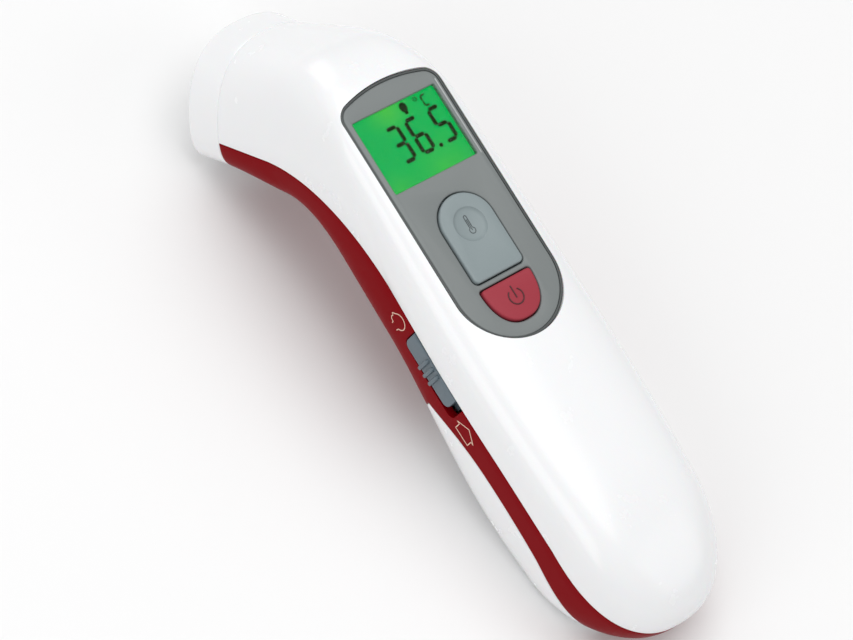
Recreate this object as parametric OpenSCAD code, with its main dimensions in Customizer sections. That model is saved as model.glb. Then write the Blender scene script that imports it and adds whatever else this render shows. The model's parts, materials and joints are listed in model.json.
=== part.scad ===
// Non-contact infrared forehead thermometer: an angled head on a rounded handle,
// with a flat display panel, two press keys, a side mode slider and a battery door.
// The parts are drawn in the handle's frame: X runs along the handle towards the butt,
// Z is the display's normal, and the origin is the centre of the panel's round end.
// The last lines tip the whole object back onto its nozzle rim and battery door.

/* [Handle] */
// Width of the handle where it is widest
handle_w = 38.4; // [36:0.2:46.2]
// Distance from the centre of the panel's round end to the butt
handle_len = 81; // [78:1:98]
// Height of the front cover's crown above the panel
crown = 1.0; // [0.6:0.1:1.6]
// Depth of the side seam below the panel
seam_depth = 11.6; // [11:0.1:14]
// Depth of the rear wall behind the display
back_depth = 26.7; // [25.5:0.1:32]
// How much further the battery bulge stands out
bulge = 7.4; // [5:0.1:9]
// Wall thickness of the covers
wall = 1.8; // [1.5:0.1:2.2]
// Gap between the battery door and the rear housing
door_gap = 0.15; // [0.1:0.05:0.3]
// Width of the coloured band above the battery door
band_h = 7.1; // [6:0.1:9]

/* [Head] */
// Width of the head at the side seam
head_w = 35.6; // [32:0.2:42]
// Angle of the nozzle's axis below the handle's axis
head_angle = 49; // [44:1:54]
// Height of the head's section from seam to crown
head_rise = 20.5; // [18:0.5:24]
// Depth of the head's section below the seam
head_drop = 9; // [8:0.5:11]
// Length of the nozzle collar
collar_len = 10.8; // [8:0.1:14]
// Diameter of the bore that holds the sensor barrel
barrel_d = 20; // [18:0.5:23]
// Diameter of the barrel's open mouth
mouth_d = 16; // [13:0.5:17]
// Length of the sensor barrel
barrel_len = 21; // [18:1:25]
// Diameter of the sensor's can
can_d = 9.2; // [8:0.1:10]

/* [Display panel] */
// Width of the panel, and of its round end
panel_w = 27; // [26:0.5:32]
// Distance from the round end's centre to the panel's top edge
panel_len = 50.5; // [49:0.5:54]
// Thickness of the panel
panel_t = 2.4; // [2:0.1:3]
// Width of the display window across the handle
window_w = 22.8; // [20:0.2:24]
// Height of the display window along the handle
window_h = 17.8; // [14:0.2:20]
// Distance from the panel's top edge to the window
window_edge = 5.8; // [5:0.1:7]

/* [Keys] */
// Width of the scan key
scan_w = 13.5; // [11:0.5:15]
// Length of the scan key
scan_len = 19.5; // [17:0.5:20]
// Length of the power key
power_len = 9.4; // [8:0.2:10]
// Gap between the two keys
key_gap = 1.8; // [1.4:0.1:2.4]
// Height of the keys above the panel
key_proud = 0.5; // [0.2:0.1:0.8]
// Running gap around each key
key_clear = 0.2; // [0.15:0.05:0.3]
// Travel of the keys
key_travel = 0.8; // [0.5:0.1:1]

/* [Mode slider] */
// Length of the slider's thumb plate
slider_len = 17; // [14:0.5:19]
// Height of the slider's thumb plate
slider_h = 5.2; // [4.4:0.1:5.8]
// Travel of the slider
slider_travel = 2.2; // [1.6:0.1:3]
// Clearance between the slider and its notch
slider_clear = 0.3; // [0.2:0.05:0.4]

/* [Electronics] */
// Width of the circuit board
board_w = 26; // [25:0.5:27]
// Thickness of the circuit board
board_t = 1.2; // [1:0.1:1.6]
// Distance from the panel's face to the board's top
board_depth = 8.2; // [7.8:0.1:9]
// Diameter of one battery cell
cell_d = 10.5; // [10.4:0.1:10.6]
// Length of one battery cell
cell_len = 44.5; // [44:0.1:44.8]
// Wall of the battery tray
tray_wall = 1.2; // [1:0.1:1.6]
// Thread diameter of the case screws
screw_d = 2.2; // [2:0.1:2.6]

/* [Hidden] */
$fn = 64;
// Smallest step, to make cuts pass clear through a face
eps = 0.01;

// Steps along the head, the bend, the blend and the handle, and around half a section
head_steps = 6;
bend_steps = 9;
blend_steps = 5;
handle_steps = 17;
round_steps = 10;

// Bend of the crown line, the seam line and the rear line: start, radius, angle
tip_x = handle_len;
join_x = 8;
top_bend = [-panel_len + 4, 23, head_angle + 8];
seam_bend = [-12, 52, head_angle];
rear_bend_r = 15;
rear_bend_a = head_angle - 1;
seam_run = 16.8;
axis_dir = [-cos(head_angle), -sin(head_angle)];
rise_dir = [-sin(head_angle), cos(head_angle)];
seam_end = [seam_bend[0] - seam_bend[1] * sin(head_angle),
    -seam_depth - seam_bend[1] * (1 - cos(head_angle))] + seam_run * axis_dir;
top_end = seam_end + head_rise * rise_dir;
rear_end = seam_end - head_drop * rise_dir;

// Eased step from 0 to 1
function ease(t) = let(c = max(0, min(1, t))) c * c * (3 - 2 * c);
function mix(a, b, t) = a + (b - a) * t;

// Curve from the nozzle to the join: a run that ends at end_pt, an arc, then the straight handle
function arc_pt(x0, z0, r, a) = [x0 - r * sin(a), z0 - r * (1 - cos(a))];
function line_pt(q, x0, z0, r, a, end_pt) =
    q <= 0 ? end_pt - q * collar_len * axis_dir
    : q <= 1 ? mix(end_pt, arc_pt(x0, z0, r, a), q)
    : q <= 2 ? arc_pt(x0, z0, r, a * (2 - q))
    : [mix(x0, join_x, q - 2), z0];

// Where the rear bend starts, so that its run meets the nozzle
rear_run = (-back_depth - rear_bend_r * (1 - cos(rear_bend_a)) - rear_end[1]) / sin(rear_bend_a);
rear_x0 = rear_end[0] + rear_bend_r * sin(rear_bend_a) + rear_run * cos(rear_bend_a);

// Rounding of the butt: a fraction that falls to 0 at the tip, which is pulled in by the inset
butt_full = 2.4;
function butt(x, from, inset) = x <= from ? 1
    : pow(max(0, 1 - pow((x - from) / (tip_x - inset - from), butt_full)), 1 / butt_full);
seam_dip = 2.5;
function seam_z(x) = -seam_depth - seam_dip * ease((x - 30) / (tip_x - 35));
function handle_half(x) = handle_w / 2 - 2.4 * pow((x - 18) / 53, 2);
function rear_z(x) = -back_depth - bulge * ease((x + 5) / 49);

// Squareness of the sections, and how far the side walls lean in towards the crown
function upper_square(q) = q <= 1 ? mix(2.6, 3.7, q)
    : q <= 2 ? mix(3.7, 5.2, q - 1) : mix(5.2, 3.7, ease(q - 2));
function lower_square(q) = mix(3.2, 5, ease(q / 1.5));
function lean(q) = q <= 2 ? mix(0.13, 0.07, q / 2) : mix(0.07, 0, ease(q - 2));
function butt_square(p, x) = mix(p, butt_full, ease((x - tip_x + 26) / 26));

// One station: crown, seam and rear points, half width, upper and lower squareness, lean
function station(q, inset = 0) =
    q <= 3 ? let(
        s = line_pt(q, seam_bend[0], -seam_depth, seam_bend[1], seam_bend[2], seam_end),
        t = line_pt(q, top_bend[0], crown, top_bend[1], top_bend[2], top_end),
        b = line_pt(q, rear_x0, -back_depth, rear_bend_r, rear_bend_a, rear_end),
        h = q <= 1 ? mix(head_w / 2, head_w / 2 - 0.7, q)
            : q <= 2 ? mix(head_w / 2 - 0.7, handle_half(seam_bend[0]) - 0.2, ease(q - 1))
            : mix(handle_half(seam_bend[0]) - 0.2, handle_half(join_x), q - 2),
        zb = q > 2 ? rear_z(b[0]) : b[1])
        [t, s, [b[0], zb], h, upper_square(max(q, 0)), lower_square(max(q, 0)), lean(max(q, 0))]
    : let(
        x = join_x + (tip_x - inset - 0.02 - join_x) * sin(90 * (q - 3)),
        s = seam_z(x))
        [[x, s + (crown - s) * butt(x, tip_x - 36, inset)], [x, s],
            [x, s + (rear_z(x) - s) * butt(x, tip_x - 37, inset)],
            handle_half(min(x, tip_x - 27)) * butt(x, tip_x - 27, inset),
            butt_square(upper_square(3), x), butt_square(lower_square(3), x), 0];

q_list = concat(
    [for (i = [0:head_steps - 1]) i / head_steps],
    [for (i = [0:bend_steps - 1]) 1 + i / bend_steps],
    [for (i = [0:blend_steps - 1]) 2 + i / blend_steps],
    [for (i = [0:handle_steps]) 3 + i / handle_steps]);

// Point of a section at angle a: 90 at one seam, 0 at the crown or rear, -90 at the other seam
function sgn_pow(v, p) = sign(v) * pow(abs(v), p);
function sec_pt(st, a, inset, up) = let(
    s = st[1],
    e = up ? st[0] : st[2],
    p = 2 / (up ? st[4] : st[5]),
    len = max(norm(e - s), 0.02),
    dir = (e - s) / len,
    c = sgn_pow(cos(a), p),
    half = max(st[3] - inset, 0.02) * (up ? 1 - st[6] * c : 1),
    rise = max(len - inset, 0.02) * c)
    [s[0] + dir[0] * rise, half * sgn_pow(sin(a), p), s[1] + dir[1] * rise];

// The rest pose: the floor touches the nozzle's lower edge and flattens the door's back
nozzle_low = rear_end + collar_len * axis_dir;
land_x = 44;
land_cut = 0.8;
rest_tilt = atan((rear_z(land_x) + land_cut - nozzle_low[1]) / (land_x - nozzle_low[0]));
floor_z = nozzle_low[1] * cos(rest_tilt) - nozzle_low[0] * sin(rest_tilt);
// Height of the floor plane in the handle's frame at x
function floor_at(x) = (floor_z + x * sin(rest_tilt)) / cos(rest_tilt);
function on_floor(p) = [p[0], p[1], max(p[2], floor_at(p[0]))];
function inside_floor(p) = [p[0], p[1], max(p[2], floor_at(p[0]) + wall)];

// A half shell, up for the front cover and down for the back: outer loop out, inner loop back
function half_loop(q, up) = let(outer = station(q), inner = station(q, wall)) concat(
    [for (j = [-round_steps:round_steps]) on_floor(sec_pt(outer, 90 * j / round_steps, 0, up))],
    [for (j = [round_steps:-1:-round_steps])
        inside_floor(sec_pt(inner, 90 * j / round_steps, wall, up))]);

// Joins equal loops of points into one closed skin
module loft(loops, flip = false) {
    n = len(loops[0]);
    m = len(loops);
    half = n / 2;
    sides = [for (i = [0:m - 2], j = [0:n - 1]) let(k = (j + 1) % n)
        each [[i * n + j, i * n + k, (i + 1) * n + k], [i * n + j, (i + 1) * n + k, (i + 1) * n + j]]];
    caps = [for (j = [0:half - 2]) each [
        [j, n - 1 - j, n - 2 - j, j + 1],
        [(m - 1) * n + j, (m - 1) * n + j + 1, (m - 1) * n + n - 2 - j, (m - 1) * n + n - 1 - j]]];
    faces = concat(sides, caps);
    polyhedron([for (l = loops) each l],
        flip ? [for (f = faces) [for (k = [len(f) - 1:-1:0]) f[k]]] : faces);
}

module half_shell(up) {
    loft([for (q = q_list) half_loop(q, up)], !up);
}

// Panel and key outlines, grown by g
module panel_outline(g = 0) {
    corner = 4;
    circle(d = panel_w + 2 * g);
    translate([-panel_len + corner, -panel_w / 2 - g])
        square([panel_len - corner, panel_w + 2 * g]);
    translate([-panel_len - g, -panel_w / 2 + corner])
        square([corner + g + eps, panel_w - 2 * corner]);
    for (side = [-1, 1])
        translate([-panel_len + corner, side * (panel_w / 2 - corner)]) circle(corner + g);
}

scan_x = -key_gap - scan_len;
module scan_outline(g = 0) {
    corner = 1.2;
    translate([scan_x + scan_w / 2, 0]) circle(d = scan_w + 2 * g);
    translate([scan_x + scan_w / 2, -scan_w / 2 - g])
        square([scan_len - scan_w / 2 - corner, scan_w + 2 * g]);
    translate([scan_x + scan_w / 2, -scan_w / 2 + corner])
        square([scan_len - scan_w / 2 + g, scan_w - 2 * corner]);
    for (side = [-1, 1])
        translate([-key_gap - corner, side * (scan_w / 2 - corner)]) circle(corner + g, $fn = 24);
}

module power_outline(g = 0) {
    steps = 24;
    polygon([for (i = [0:steps]) let(a = 180 * i / steps - 90)
        [max(-g, -g + (power_len + 2 * g) * pow(abs(cos(a)), 2 / 2.4)),
            (scan_w / 2 + g) * sgn_pow(sin(a), 2 / 2.4)]]);
}

module plate(z, t) {
    translate([0, 0, z]) linear_extrude(t) children();
}

// A round part along X's mirror of the nozzle axis: local +Z points out of the nozzle
nozzle_mid = (top_end + rear_end) / 2 + collar_len * axis_dir;
module at_nozzle(back = 0) {
    translate([nozzle_mid[0], 0, nozzle_mid[1]] - back * [axis_dir[0], 0, axis_dir[1]])
        rotate([0, -90 - head_angle, 0]) children();
}

// Battery tray and cells
tray_x = 14.2;
cell_gap = 0.3;
spring_len = 4.2;
tray_in_len = cell_len + spring_len + 0.8;
tray_end = tray_x + tray_in_len + 2 * tray_wall;
tray_half = cell_d + cell_gap * 1.5 + tray_wall;
cell_y = cell_d / 2 + cell_gap / 2;
cell_z = -seam_depth - 3.4 - cell_d / 2;
tray_top = cell_z + cell_d / 2 + cell_gap;
// Two case screws beside the tray, reached with the battery door off
head_r = 1.9;
boss_r = head_r + 0.4;
screw_side_y = handle_w / 2 - wall - head_r - 0.15;
screw_spots = [for (side = [-1, 1]) [23.5, side * screw_side_y]];
well_top = -seam_depth - 1.6;
head_seat = well_top - 3;
board_z = -board_depth - board_t;
board_x0 = -panel_len + 1.5;
board_x1 = tray_x - 2;

module front_cover() {
    color("white") difference() {
        union() {
            half_shell(true);
            for (p = screw_spots)
                translate([p[0], p[1], well_top + 0.1]) cylinder(r = boss_r, h = -5.5 - well_top);
        }
        plate(-12, 16) panel_outline(0.1);
        for (p = screw_spots)
            translate([p[0], p[1], well_top]) cylinder(d = screw_d + 0.1, h = 7);
    }
}

// Notch in the side wall, open at the seam
slider_x = -0.6;
slider_top = -seam_depth - 0.35;
slider_notch_len = slider_len + slider_travel + 2 * slider_clear;
module slider_notch() {
    translate([slider_x - slider_clear, -handle_w, slider_top - slider_h - slider_clear])
        cube([slider_notch_len, handle_w - 13, slider_h + slider_clear + 2]);
}

// Region of the battery door, seen from the side and grown by g
band_x = 33;
function band_edge(x) = -seam_depth - band_h
    - pow(x - band_x, 2) / (x < band_x ? 100 : 220);
module door_zone(g) {
    x0 = 12.5 - g;
    x1 = tip_x + 5;
    steps = 24;
    rotate([90, 0, 0]) translate([0, 0, -handle_w]) linear_extrude(2 * handle_w)
        polygon(concat([[x1, -60], [x0, -60]],
            [for (i = [0:steps]) let(x = mix(x0, x1, i / steps)) [x, band_edge(x) + g]]));
}

module rear_housing() {
    color("darkred") difference() {
        union() {
            half_shell(false);
            for (p = screw_spots)
                translate([p[0], p[1], head_seat]) cylinder(r = boss_r, h = well_top - head_seat);
        }
        door_zone(0);
        slider_notch();
        for (p = screw_spots)
            translate([p[0], p[1], head_seat - 1]) cylinder(d = screw_d + 0.1, h = 6);
    }
}

module battery_door() {
    color("white") intersection() {
        half_shell(false);
        door_zone(-door_gap);
    }
}

// Collar sections, slightly drawn in at the rim
collar_steps = 5;
function ring_loop(q, draw) = let(st = station(q)) concat(
    [for (j = [-round_steps:round_steps - 1]) on_floor(sec_pt(st, 90 * j / round_steps, draw, true))],
    [for (j = [round_steps:-1:-round_steps + 1]) on_floor(sec_pt(st, 90 * j / round_steps, draw, false))]);
module nozzle_collar() {
    rim = 1.2;
    loops = concat(
        [for (i = [0:collar_steps - 1]) ring_loop(-i / collar_steps * (1 - rim / collar_len), 0)],
        [for (a = [0, 45, 90]) ring_loop(-1 + rim * (1 - sin(a)) / collar_len, rim * (1 - cos(a)))]);
    n = len(loops[0]);
    m = len(loops);
    color("white") difference() {
        polyhedron([for (l = loops) each l], concat(
            [for (i = [0:m - 2], j = [0:n - 1]) let(k = (j + 1) % n)
                each [[i * n + j, (i + 1) * n + k, i * n + k],
                    [i * n + j, (i + 1) * n + j, (i + 1) * n + k]]],
            [[for (j = [0:n - 1]) j], [for (j = [n - 1:-1:0]) (m - 1) * n + j]]));
        at_nozzle(collar_len + 1) cylinder(d = barrel_d, h = collar_len + 3);
    }
}

module display_panel() {
    color("slategray") difference() {
        union() {
            plate(-panel_t, panel_t) panel_outline();
            for (p = screw_board)
                translate([p[0], p[1], -board_depth]) cylinder(r = post_r, h = board_depth - 1);
        }
        for (p = screw_board)
            translate([p[0], p[1], -board_depth - 1]) cylinder(d = 1.7, h = 5);
        translate([-panel_len + window_edge, -window_w / 2, -panel_t - 1])
            cube([window_h, window_w, panel_t + 2]);
        plate(-panel_t - 1, panel_t + 2) scan_outline(key_clear);
        plate(-panel_t - 1, panel_t + 2) power_outline(key_clear);
    }
}

window_mid = -panel_len + window_edge + window_h / 2;
module window_block(z, t, grow_x, grow_y) {
    translate([window_mid - window_h / 2 - grow_x, -window_w / 2 - grow_y, z])
        cube([window_h + 2 * grow_x, window_w + 2 * grow_y, t]);
}
lens_t = 1;
glass_t = 1.8;
light_t = 2.4;
glass_z = -panel_t - glass_t;
light_z = glass_z - light_t;
module window_lens() color("lightgray", 0.4) window_block(-0.2 - lens_t, lens_t, -0.05, -0.05);
module lcd_glass() color("limegreen") window_block(glass_z, glass_t, 2.4, 0.6);
module backlight() color("honeydew") window_block(light_z, light_t, 0.4, 0.4);
module lcd_holder() {
    color("ivory") difference() {
        window_block(-board_depth, light_z + board_depth, 0.4, 0.4);
        window_block(-board_depth - 1, board_depth + light_z - 1.2 + 1, -1.6, -1.6);
    }
}
module contact_strips() {
    color("dimgray") for (side = [-1, 1])
        translate([window_mid + side * (window_h / 2 + 1.4) - 0.8, -window_w / 2, -board_depth])
            cube([1.6, window_w, glass_z + board_depth]);
}

// Posts under the panel take the board's screws
post_r = 2;
screw_board = [for (side = [-1, 1]) [-8, side * (scan_w / 2 + 0.7 + post_r + 0.6)]];
module circuit_board() {
    color("darkgreen") difference() {
        translate([board_x0, -board_w / 2, board_z]) cube([board_x1 - board_x0, board_w, board_t]);
        for (p = screw_board)
            translate([p[0], p[1], board_z - 1]) cylinder(d = 1.7, h = board_t + 2);
    }
}
module controller_chip() {
    color("black") translate([-38, -5, board_z - 1.4]) cube([10, 10, 1.4]);
}
// Small parts under the board: a crystal, capacitors and a coil
module board_parts() {
    color("goldenrod") {
        for (i = [0:3]) translate([-26 + 3 * i, 4, board_z - 1]) cube([1.2, 2, 1]);
        translate([-46, -8.5, board_z - 2.5]) cube([4.5, 3, 2.5]);
        translate([-14, -6, board_z - 3]) cylinder(r = 2.2, h = 3);
    }
}
module buzzer() {
    color("black") difference() {
        translate([5, 5, board_z - 3.4]) cylinder(r = 5, h = 3.4);
        translate([5, 5, board_z - 3.5]) cylinder(r = 0.9, h = 1.5);
    }
}

// A key: cap, flange under the panel and the foot that meets its switch
flange_t = 0.9;
flange_z = -panel_t - 0.05 - flange_t;
switch_h = 3;
stem_r = 1.7;
plunger_top = -board_depth + switch_h + 1;
module key(x) {
    plate(flange_z + flange_t - eps, key_proud - flange_z - flange_t + eps) children(0);
    plate(flange_z, flange_t) children(1);
    translate([x, 0, plunger_top]) cylinder(r = 2.2, h = flange_z - plunger_top + eps);
}
scan_mid = scan_x + scan_w / 2 + 0.6;
power_mid = power_len * 0.42;
dish_r = 3.9;
dish_depth = 0.7;
dish_sphere = (dish_r * dish_r + dish_depth * dish_depth) / (2 * dish_depth);
module scan_key() {
    color("lightslategray") difference() {
        key(scan_mid) {
            scan_outline();
            intersection() {
                scan_outline(0.7);
                translate([-60, -20]) square([60 - 1, 40]);
            }
        }
        translate([scan_mid, 0, key_proud - dish_depth + dish_sphere]) sphere(dish_sphere);
    }
}
module power_key() {
    color("firebrick") key(power_mid) {
        power_outline();
        intersection() {
            power_outline(0.7);
            translate([-0.7, -20]) square([40, 40]);
        }
    }
}
module switch_body(x) {
    color("silver") difference() {
        translate([x - 3, -3, -board_depth]) cube([6, 6, switch_h]);
        translate([x, 0, -board_depth + 0.6]) cylinder(r = stem_r + 0.05, h = switch_h);
    }
}
module plunger(x) {
    color("black") translate([x, 0, plunger_top - 2.4]) cylinder(r = stem_r, h = 2.4);
}
module scan_switch() switch_body(scan_mid);
module power_switch() switch_body(power_mid + 0.6);
module scan_plunger() plunger(scan_mid);
module power_plunger() plunger(power_mid + 0.6);

// Side slider: thumb plate with three ribs, a guide plate inside the wall and a fork
slider_face = handle_half(8);
slider_mid = slider_x + slider_len / 2;
slider_z = slider_top - slider_h / 2;
rib_pitch = 2;
guide_gap = 1;
guide_y = -slider_face + wall + guide_gap;
module mode_slider() {
    color("slategray") difference() {
        union() {
            translate([slider_x, -slider_face, slider_top - slider_h])
                cube([slider_len, wall + guide_gap + eps, slider_h]);
            for (i = [-1:1])
                translate([slider_mid + i * rib_pitch - 0.45, -slider_face - 0.8, slider_top - slider_h])
                    cube([0.9, 1, slider_h]);
            translate([slider_x - 1.5, guide_y, slider_top - slider_h - 1.2])
                cube([slider_len + 3, 0.9, slider_h + 0.6]);
            translate([slider_mid - 2.5, guide_y, slider_z - 1.4]) cube([5, 2.6, 2.8]);
        }
        translate([slider_mid - 1, guide_y + 0.9, slider_z - 2]) cube([2, 3, 4]);
    }
}
actuator_y = guide_y + 1;
switch_y = guide_y + 3.2;
module slide_actuator() {
    color("black") translate([slider_mid - 1, actuator_y, slider_z - 0.9]) cube([2, 3.4, 1.8]);
}
module slide_switch() {
    body_w = 9;
    body_t = 4;
    color("silver") difference() {
        translate([slider_mid + slider_travel / 2 - body_w / 2, switch_y, slider_z - 2])
            cube([body_w, body_t, board_z - slider_z + 2]);
        translate([slider_mid - 1.1, switch_y - 1, slider_z - 1])
            cube([2.2 + slider_travel, 3, 2]);
    }
}

// Sensor: mirrored barrel in the nozzle, can, filter, holder and its small board
can_back = barrel_len - 6;
filter_t = 0.5;
module sensor_barrel() {
    r_out = barrel_d / 2 - 0.05;
    color("gainsboro") at_nozzle() rotate_extrude() polygon([
        [mouth_d / 2, -0.6], [r_out, -0.6], [r_out, -collar_len], [r_out - 2, -collar_len - 1],
        [r_out - 3, -barrel_len], [can_d / 2 + 0.1, -barrel_len], [can_d / 2 + 0.1, -can_back],
        [can_d / 2 - 1.2, -can_back], [can_d / 2 - 1.2, -can_back + 1.2]]);
}
module sensor_can() {
    color("silver") at_nozzle() difference() {
        translate([0, 0, -barrel_len + 0.2]) cylinder(d = can_d, h = barrel_len - can_back - 0.2);
        translate([0, 0, -can_back - filter_t]) cylinder(d = 5.1, h = 2);
    }
}
module sensor_filter() {
    color("dimgray") at_nozzle(can_back + filter_t) cylinder(d = 5, h = filter_t - 0.05);
}
sensor_board_t = 1;
module sensor_board() {
    color("darkgreen") at_nozzle(barrel_len + sensor_board_t) cylinder(d = 14, h = sensor_board_t);
}
module sensor_holder() {
    color("ivory") at_nozzle(barrel_len + sensor_board_t) difference() {
        cylinder(d = barrel_d + 3, h = barrel_len + sensor_board_t - collar_len - 0.1);
        translate([0, 0, -1]) cylinder(d = 14.2, h = sensor_board_t + 1);
        translate([0, 0, sensor_board_t - eps]) cylinder(r = barrel_d / 2 - 2.9,
            h = barrel_len - collar_len + 2);
        translate([0, 0, barrel_len + sensor_board_t - collar_len - 1.6])
            cylinder(d = barrel_d + 0.1, h = 3);
        translate([0, 0, sensor_board_t + 0.2]) cylinder(r1 = barrel_d / 2 - 2.9,
            r2 = barrel_d / 2 + 0.05, h = barrel_len - collar_len);
    }
}
// Flat ribbon from the sensor board to the circuit board's end
ribbon_w = 6;
ribbon_t = 0.35;
ribbon_from = nozzle_mid - (barrel_len + sensor_board_t + 0.1) * axis_dir;
ribbon_to = [board_x0 + 9, board_z - ribbon_t - 0.05];
function ribbon_pt(t) = let(
    a = ribbon_from, b = ribbon_from - 7 * axis_dir, c = ribbon_to - [6, 5], d = ribbon_to, s = 1 - t)
    s * s * s * a + 3 * s * s * t * b + 3 * s * t * t * c + t * t * t * d;
function ribbon_side(t) = let(d = ribbon_pt(min(1, t + 0.01)) - ribbon_pt(max(0, t - 0.01)))
    [d[1], -d[0]] / norm(d);
module sensor_ribbon() {
    steps = 16;
    color("orange") translate([0, ribbon_w / 2, 0]) rotate([90, 0, 0]) linear_extrude(ribbon_w)
        polygon(concat(
            [for (i = [0:steps]) ribbon_pt(i / steps)],
            [for (i = [steps:-1:0]) ribbon_pt(i / steps) + ribbon_t * ribbon_side(i / steps)]));
}

// Battery tray, open at the back, with two cells side by side
module battery_tray() {
    depth = cell_d * 0.75;
    color("whitesmoke") difference() {
        translate([tray_x, -tray_half, tray_top - depth]) cube([tray_end - tray_x, 2 * tray_half, depth + tray_wall]);
        translate([tray_x + tray_wall, -tray_half + tray_wall, tray_top - depth - 1])
            cube([tray_in_len, 2 * (tray_half - tray_wall), depth + 1]);
    }
}
module cell(side) {
    x0 = tray_x + tray_wall + 0.4;
    turn = side > 0 ? 0 : 180;
    translate([x0 + (side > 0 ? 0 : cell_len + spring_len), side * cell_y, cell_z])
        rotate([0, 90, turn]) {
            translate([0, 0, spring_len]) cylinder(d = cell_d, h = cell_len - 1);
            translate([0, 0, spring_len + cell_len - 1 - eps]) cylinder(d = 3.8, h = 1);
        }
}
module cell_left() color("royalblue") cell(-1);
module cell_right() color("royalblue") cell(1);

// Conical contact springs, one at each cell's flat end
module coil_spring() {
    turns = 3;
    per_turn = 14;
    sides = 6;
    wire = 0.3;
    n = turns * per_turn;
    pts = [for (i = [0:n], j = [0:sides - 1]) let(
        a = 360 * i / per_turn, b = 360 * j / sides, r = 3.6 - 1.4 * i / n + wire * cos(b))
        [r * cos(a), r * sin(a), wire + (spring_len - 2 * wire) * i / n + wire * sin(b)]];
    polyhedron(pts, concat(
        [for (i = [0:n - 1], j = [0:sides - 1]) let(k = (j + 1) % sides)
            each [[i * sides + j, i * sides + k, (i + 1) * sides + k],
                [i * sides + j, (i + 1) * sides + k, (i + 1) * sides + j]]],
        [[for (j = [sides - 1:-1:0]) j], [for (j = [0:sides - 1]) n * sides + j]]));
}
module spring_contacts() {
    color("silver") for (side = [-1, 1])
        translate([tray_x + tray_wall + (side > 0 ? 0.4 : tray_in_len - 0.4), side * cell_y, cell_z])
            rotate([0, 90, side > 0 ? 0 : 180]) {
                translate([-3.8, -3.8, -0.4]) cube([7.6, 7.6, 0.6]);
                coil_spring();
            }
}
// Flat contact plates at the other ends
module link_contact() {
    color("silver") for (side = [-1, 1])
        translate([tray_x + tray_wall + (side > 0 ? tray_in_len - 0.35 : 0), side * cell_y - 4, cell_z - 3.2])
            cube([0.35, 8, 7]);
}

module screw(len) {
    head_h = 1.5;
    translate([0, 0, -0.5]) cylinder(d = screw_d, h = len + 0.5);
    difference() {
        translate([0, 0, -head_h]) cylinder(r = head_r, h = head_h);
        for (turn = [0, 90]) rotate(turn) translate([-1.3, -0.25, -2]) cube([2.6, 0.5, 1.3]);
    }
}
module case_screws() {
    color("silver") for (p = screw_spots) translate([p[0], p[1], head_seat]) screw(8.5);
}
module board_screws() {
    color("silver") for (p = screw_board) translate([p[0], p[1], board_z]) {
        cylinder(d = 1.6, h = 4);
        translate([0, 0, -1.2]) cylinder(r = 1.6, h = 1.2);
    }
}

// Tips the object onto its nozzle rim and battery door, centred over its own length
nozzle_front = top_end + collar_len * axis_dir;
function rest_x(p) = p[0] * cos(rest_tilt) + p[1] * sin(rest_tilt);
centre_x = (rest_x([tip_x, seam_z(tip_x)]) + rest_x(nozzle_front)) / 2;
module rest() {
    translate([-centre_x, 0, -floor_z]) rotate([0, rest_tilt, 0]) children();
}

rest() front_cover();
rest() rear_housing();
rest() battery_door();
rest() nozzle_collar();
rest() display_panel();
rest() window_lens();
rest() lcd_glass();
rest() backlight();
rest() lcd_holder();
rest() contact_strips();
rest() circuit_board();
rest() controller_chip();
rest() board_parts();
rest() buzzer();
rest() scan_key();
rest() scan_switch();
rest() scan_plunger();
rest() power_key();
rest() power_switch();
rest() power_plunger();
rest() mode_slider();
rest() slide_switch();
rest() slide_actuator();
rest() sensor_barrel();
rest() sensor_holder();
rest() sensor_can();
rest() sensor_filter();
rest() sensor_board();
rest() sensor_ribbon();
rest() battery_tray();
rest() cell_left();
rest() cell_right();
rest() spring_contacts();
rest() link_contact();
rest() case_screws();
rest() board_screws();
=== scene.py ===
"""Infrared forehead thermometer: the finished look of each part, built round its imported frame.

Lengths inside the script are millimetres in the handle's frame: X runs along the handle to the
butt, Y across it and Z is the display's normal. The origin is the centre of the panel's round end.
Finished pieces are placed in metres, in the frame's own coordinates.
"""

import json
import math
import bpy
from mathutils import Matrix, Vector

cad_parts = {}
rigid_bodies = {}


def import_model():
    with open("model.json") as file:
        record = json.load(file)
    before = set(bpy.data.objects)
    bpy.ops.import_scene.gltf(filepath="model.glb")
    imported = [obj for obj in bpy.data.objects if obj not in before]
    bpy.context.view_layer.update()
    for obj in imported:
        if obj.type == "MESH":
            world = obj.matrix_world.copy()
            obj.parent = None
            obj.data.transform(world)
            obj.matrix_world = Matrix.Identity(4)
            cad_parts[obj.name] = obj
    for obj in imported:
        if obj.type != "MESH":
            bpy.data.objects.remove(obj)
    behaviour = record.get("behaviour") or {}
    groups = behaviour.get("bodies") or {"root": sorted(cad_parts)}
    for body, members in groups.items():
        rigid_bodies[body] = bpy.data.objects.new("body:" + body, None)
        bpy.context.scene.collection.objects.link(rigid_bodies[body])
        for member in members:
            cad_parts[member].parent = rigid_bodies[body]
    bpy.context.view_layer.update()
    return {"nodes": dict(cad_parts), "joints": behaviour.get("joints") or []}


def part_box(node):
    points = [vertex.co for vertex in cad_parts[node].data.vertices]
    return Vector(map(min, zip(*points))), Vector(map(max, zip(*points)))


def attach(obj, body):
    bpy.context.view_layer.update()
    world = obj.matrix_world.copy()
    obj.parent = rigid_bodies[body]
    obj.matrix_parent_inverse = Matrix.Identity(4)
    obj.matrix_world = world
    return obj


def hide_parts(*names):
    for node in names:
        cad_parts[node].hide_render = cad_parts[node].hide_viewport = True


bl_info = {
    "name": "Forehead thermometer",
    "version": (1, 0, 0),
    "blender": (4, 5, 0),
    "location": "View3D > Sidebar > Thermometer",
    "description": "Builds the covers, display, keys, slider and finishes of an infrared thermometer",
    "category": "Object",
}

from types import SimpleNamespace

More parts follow.
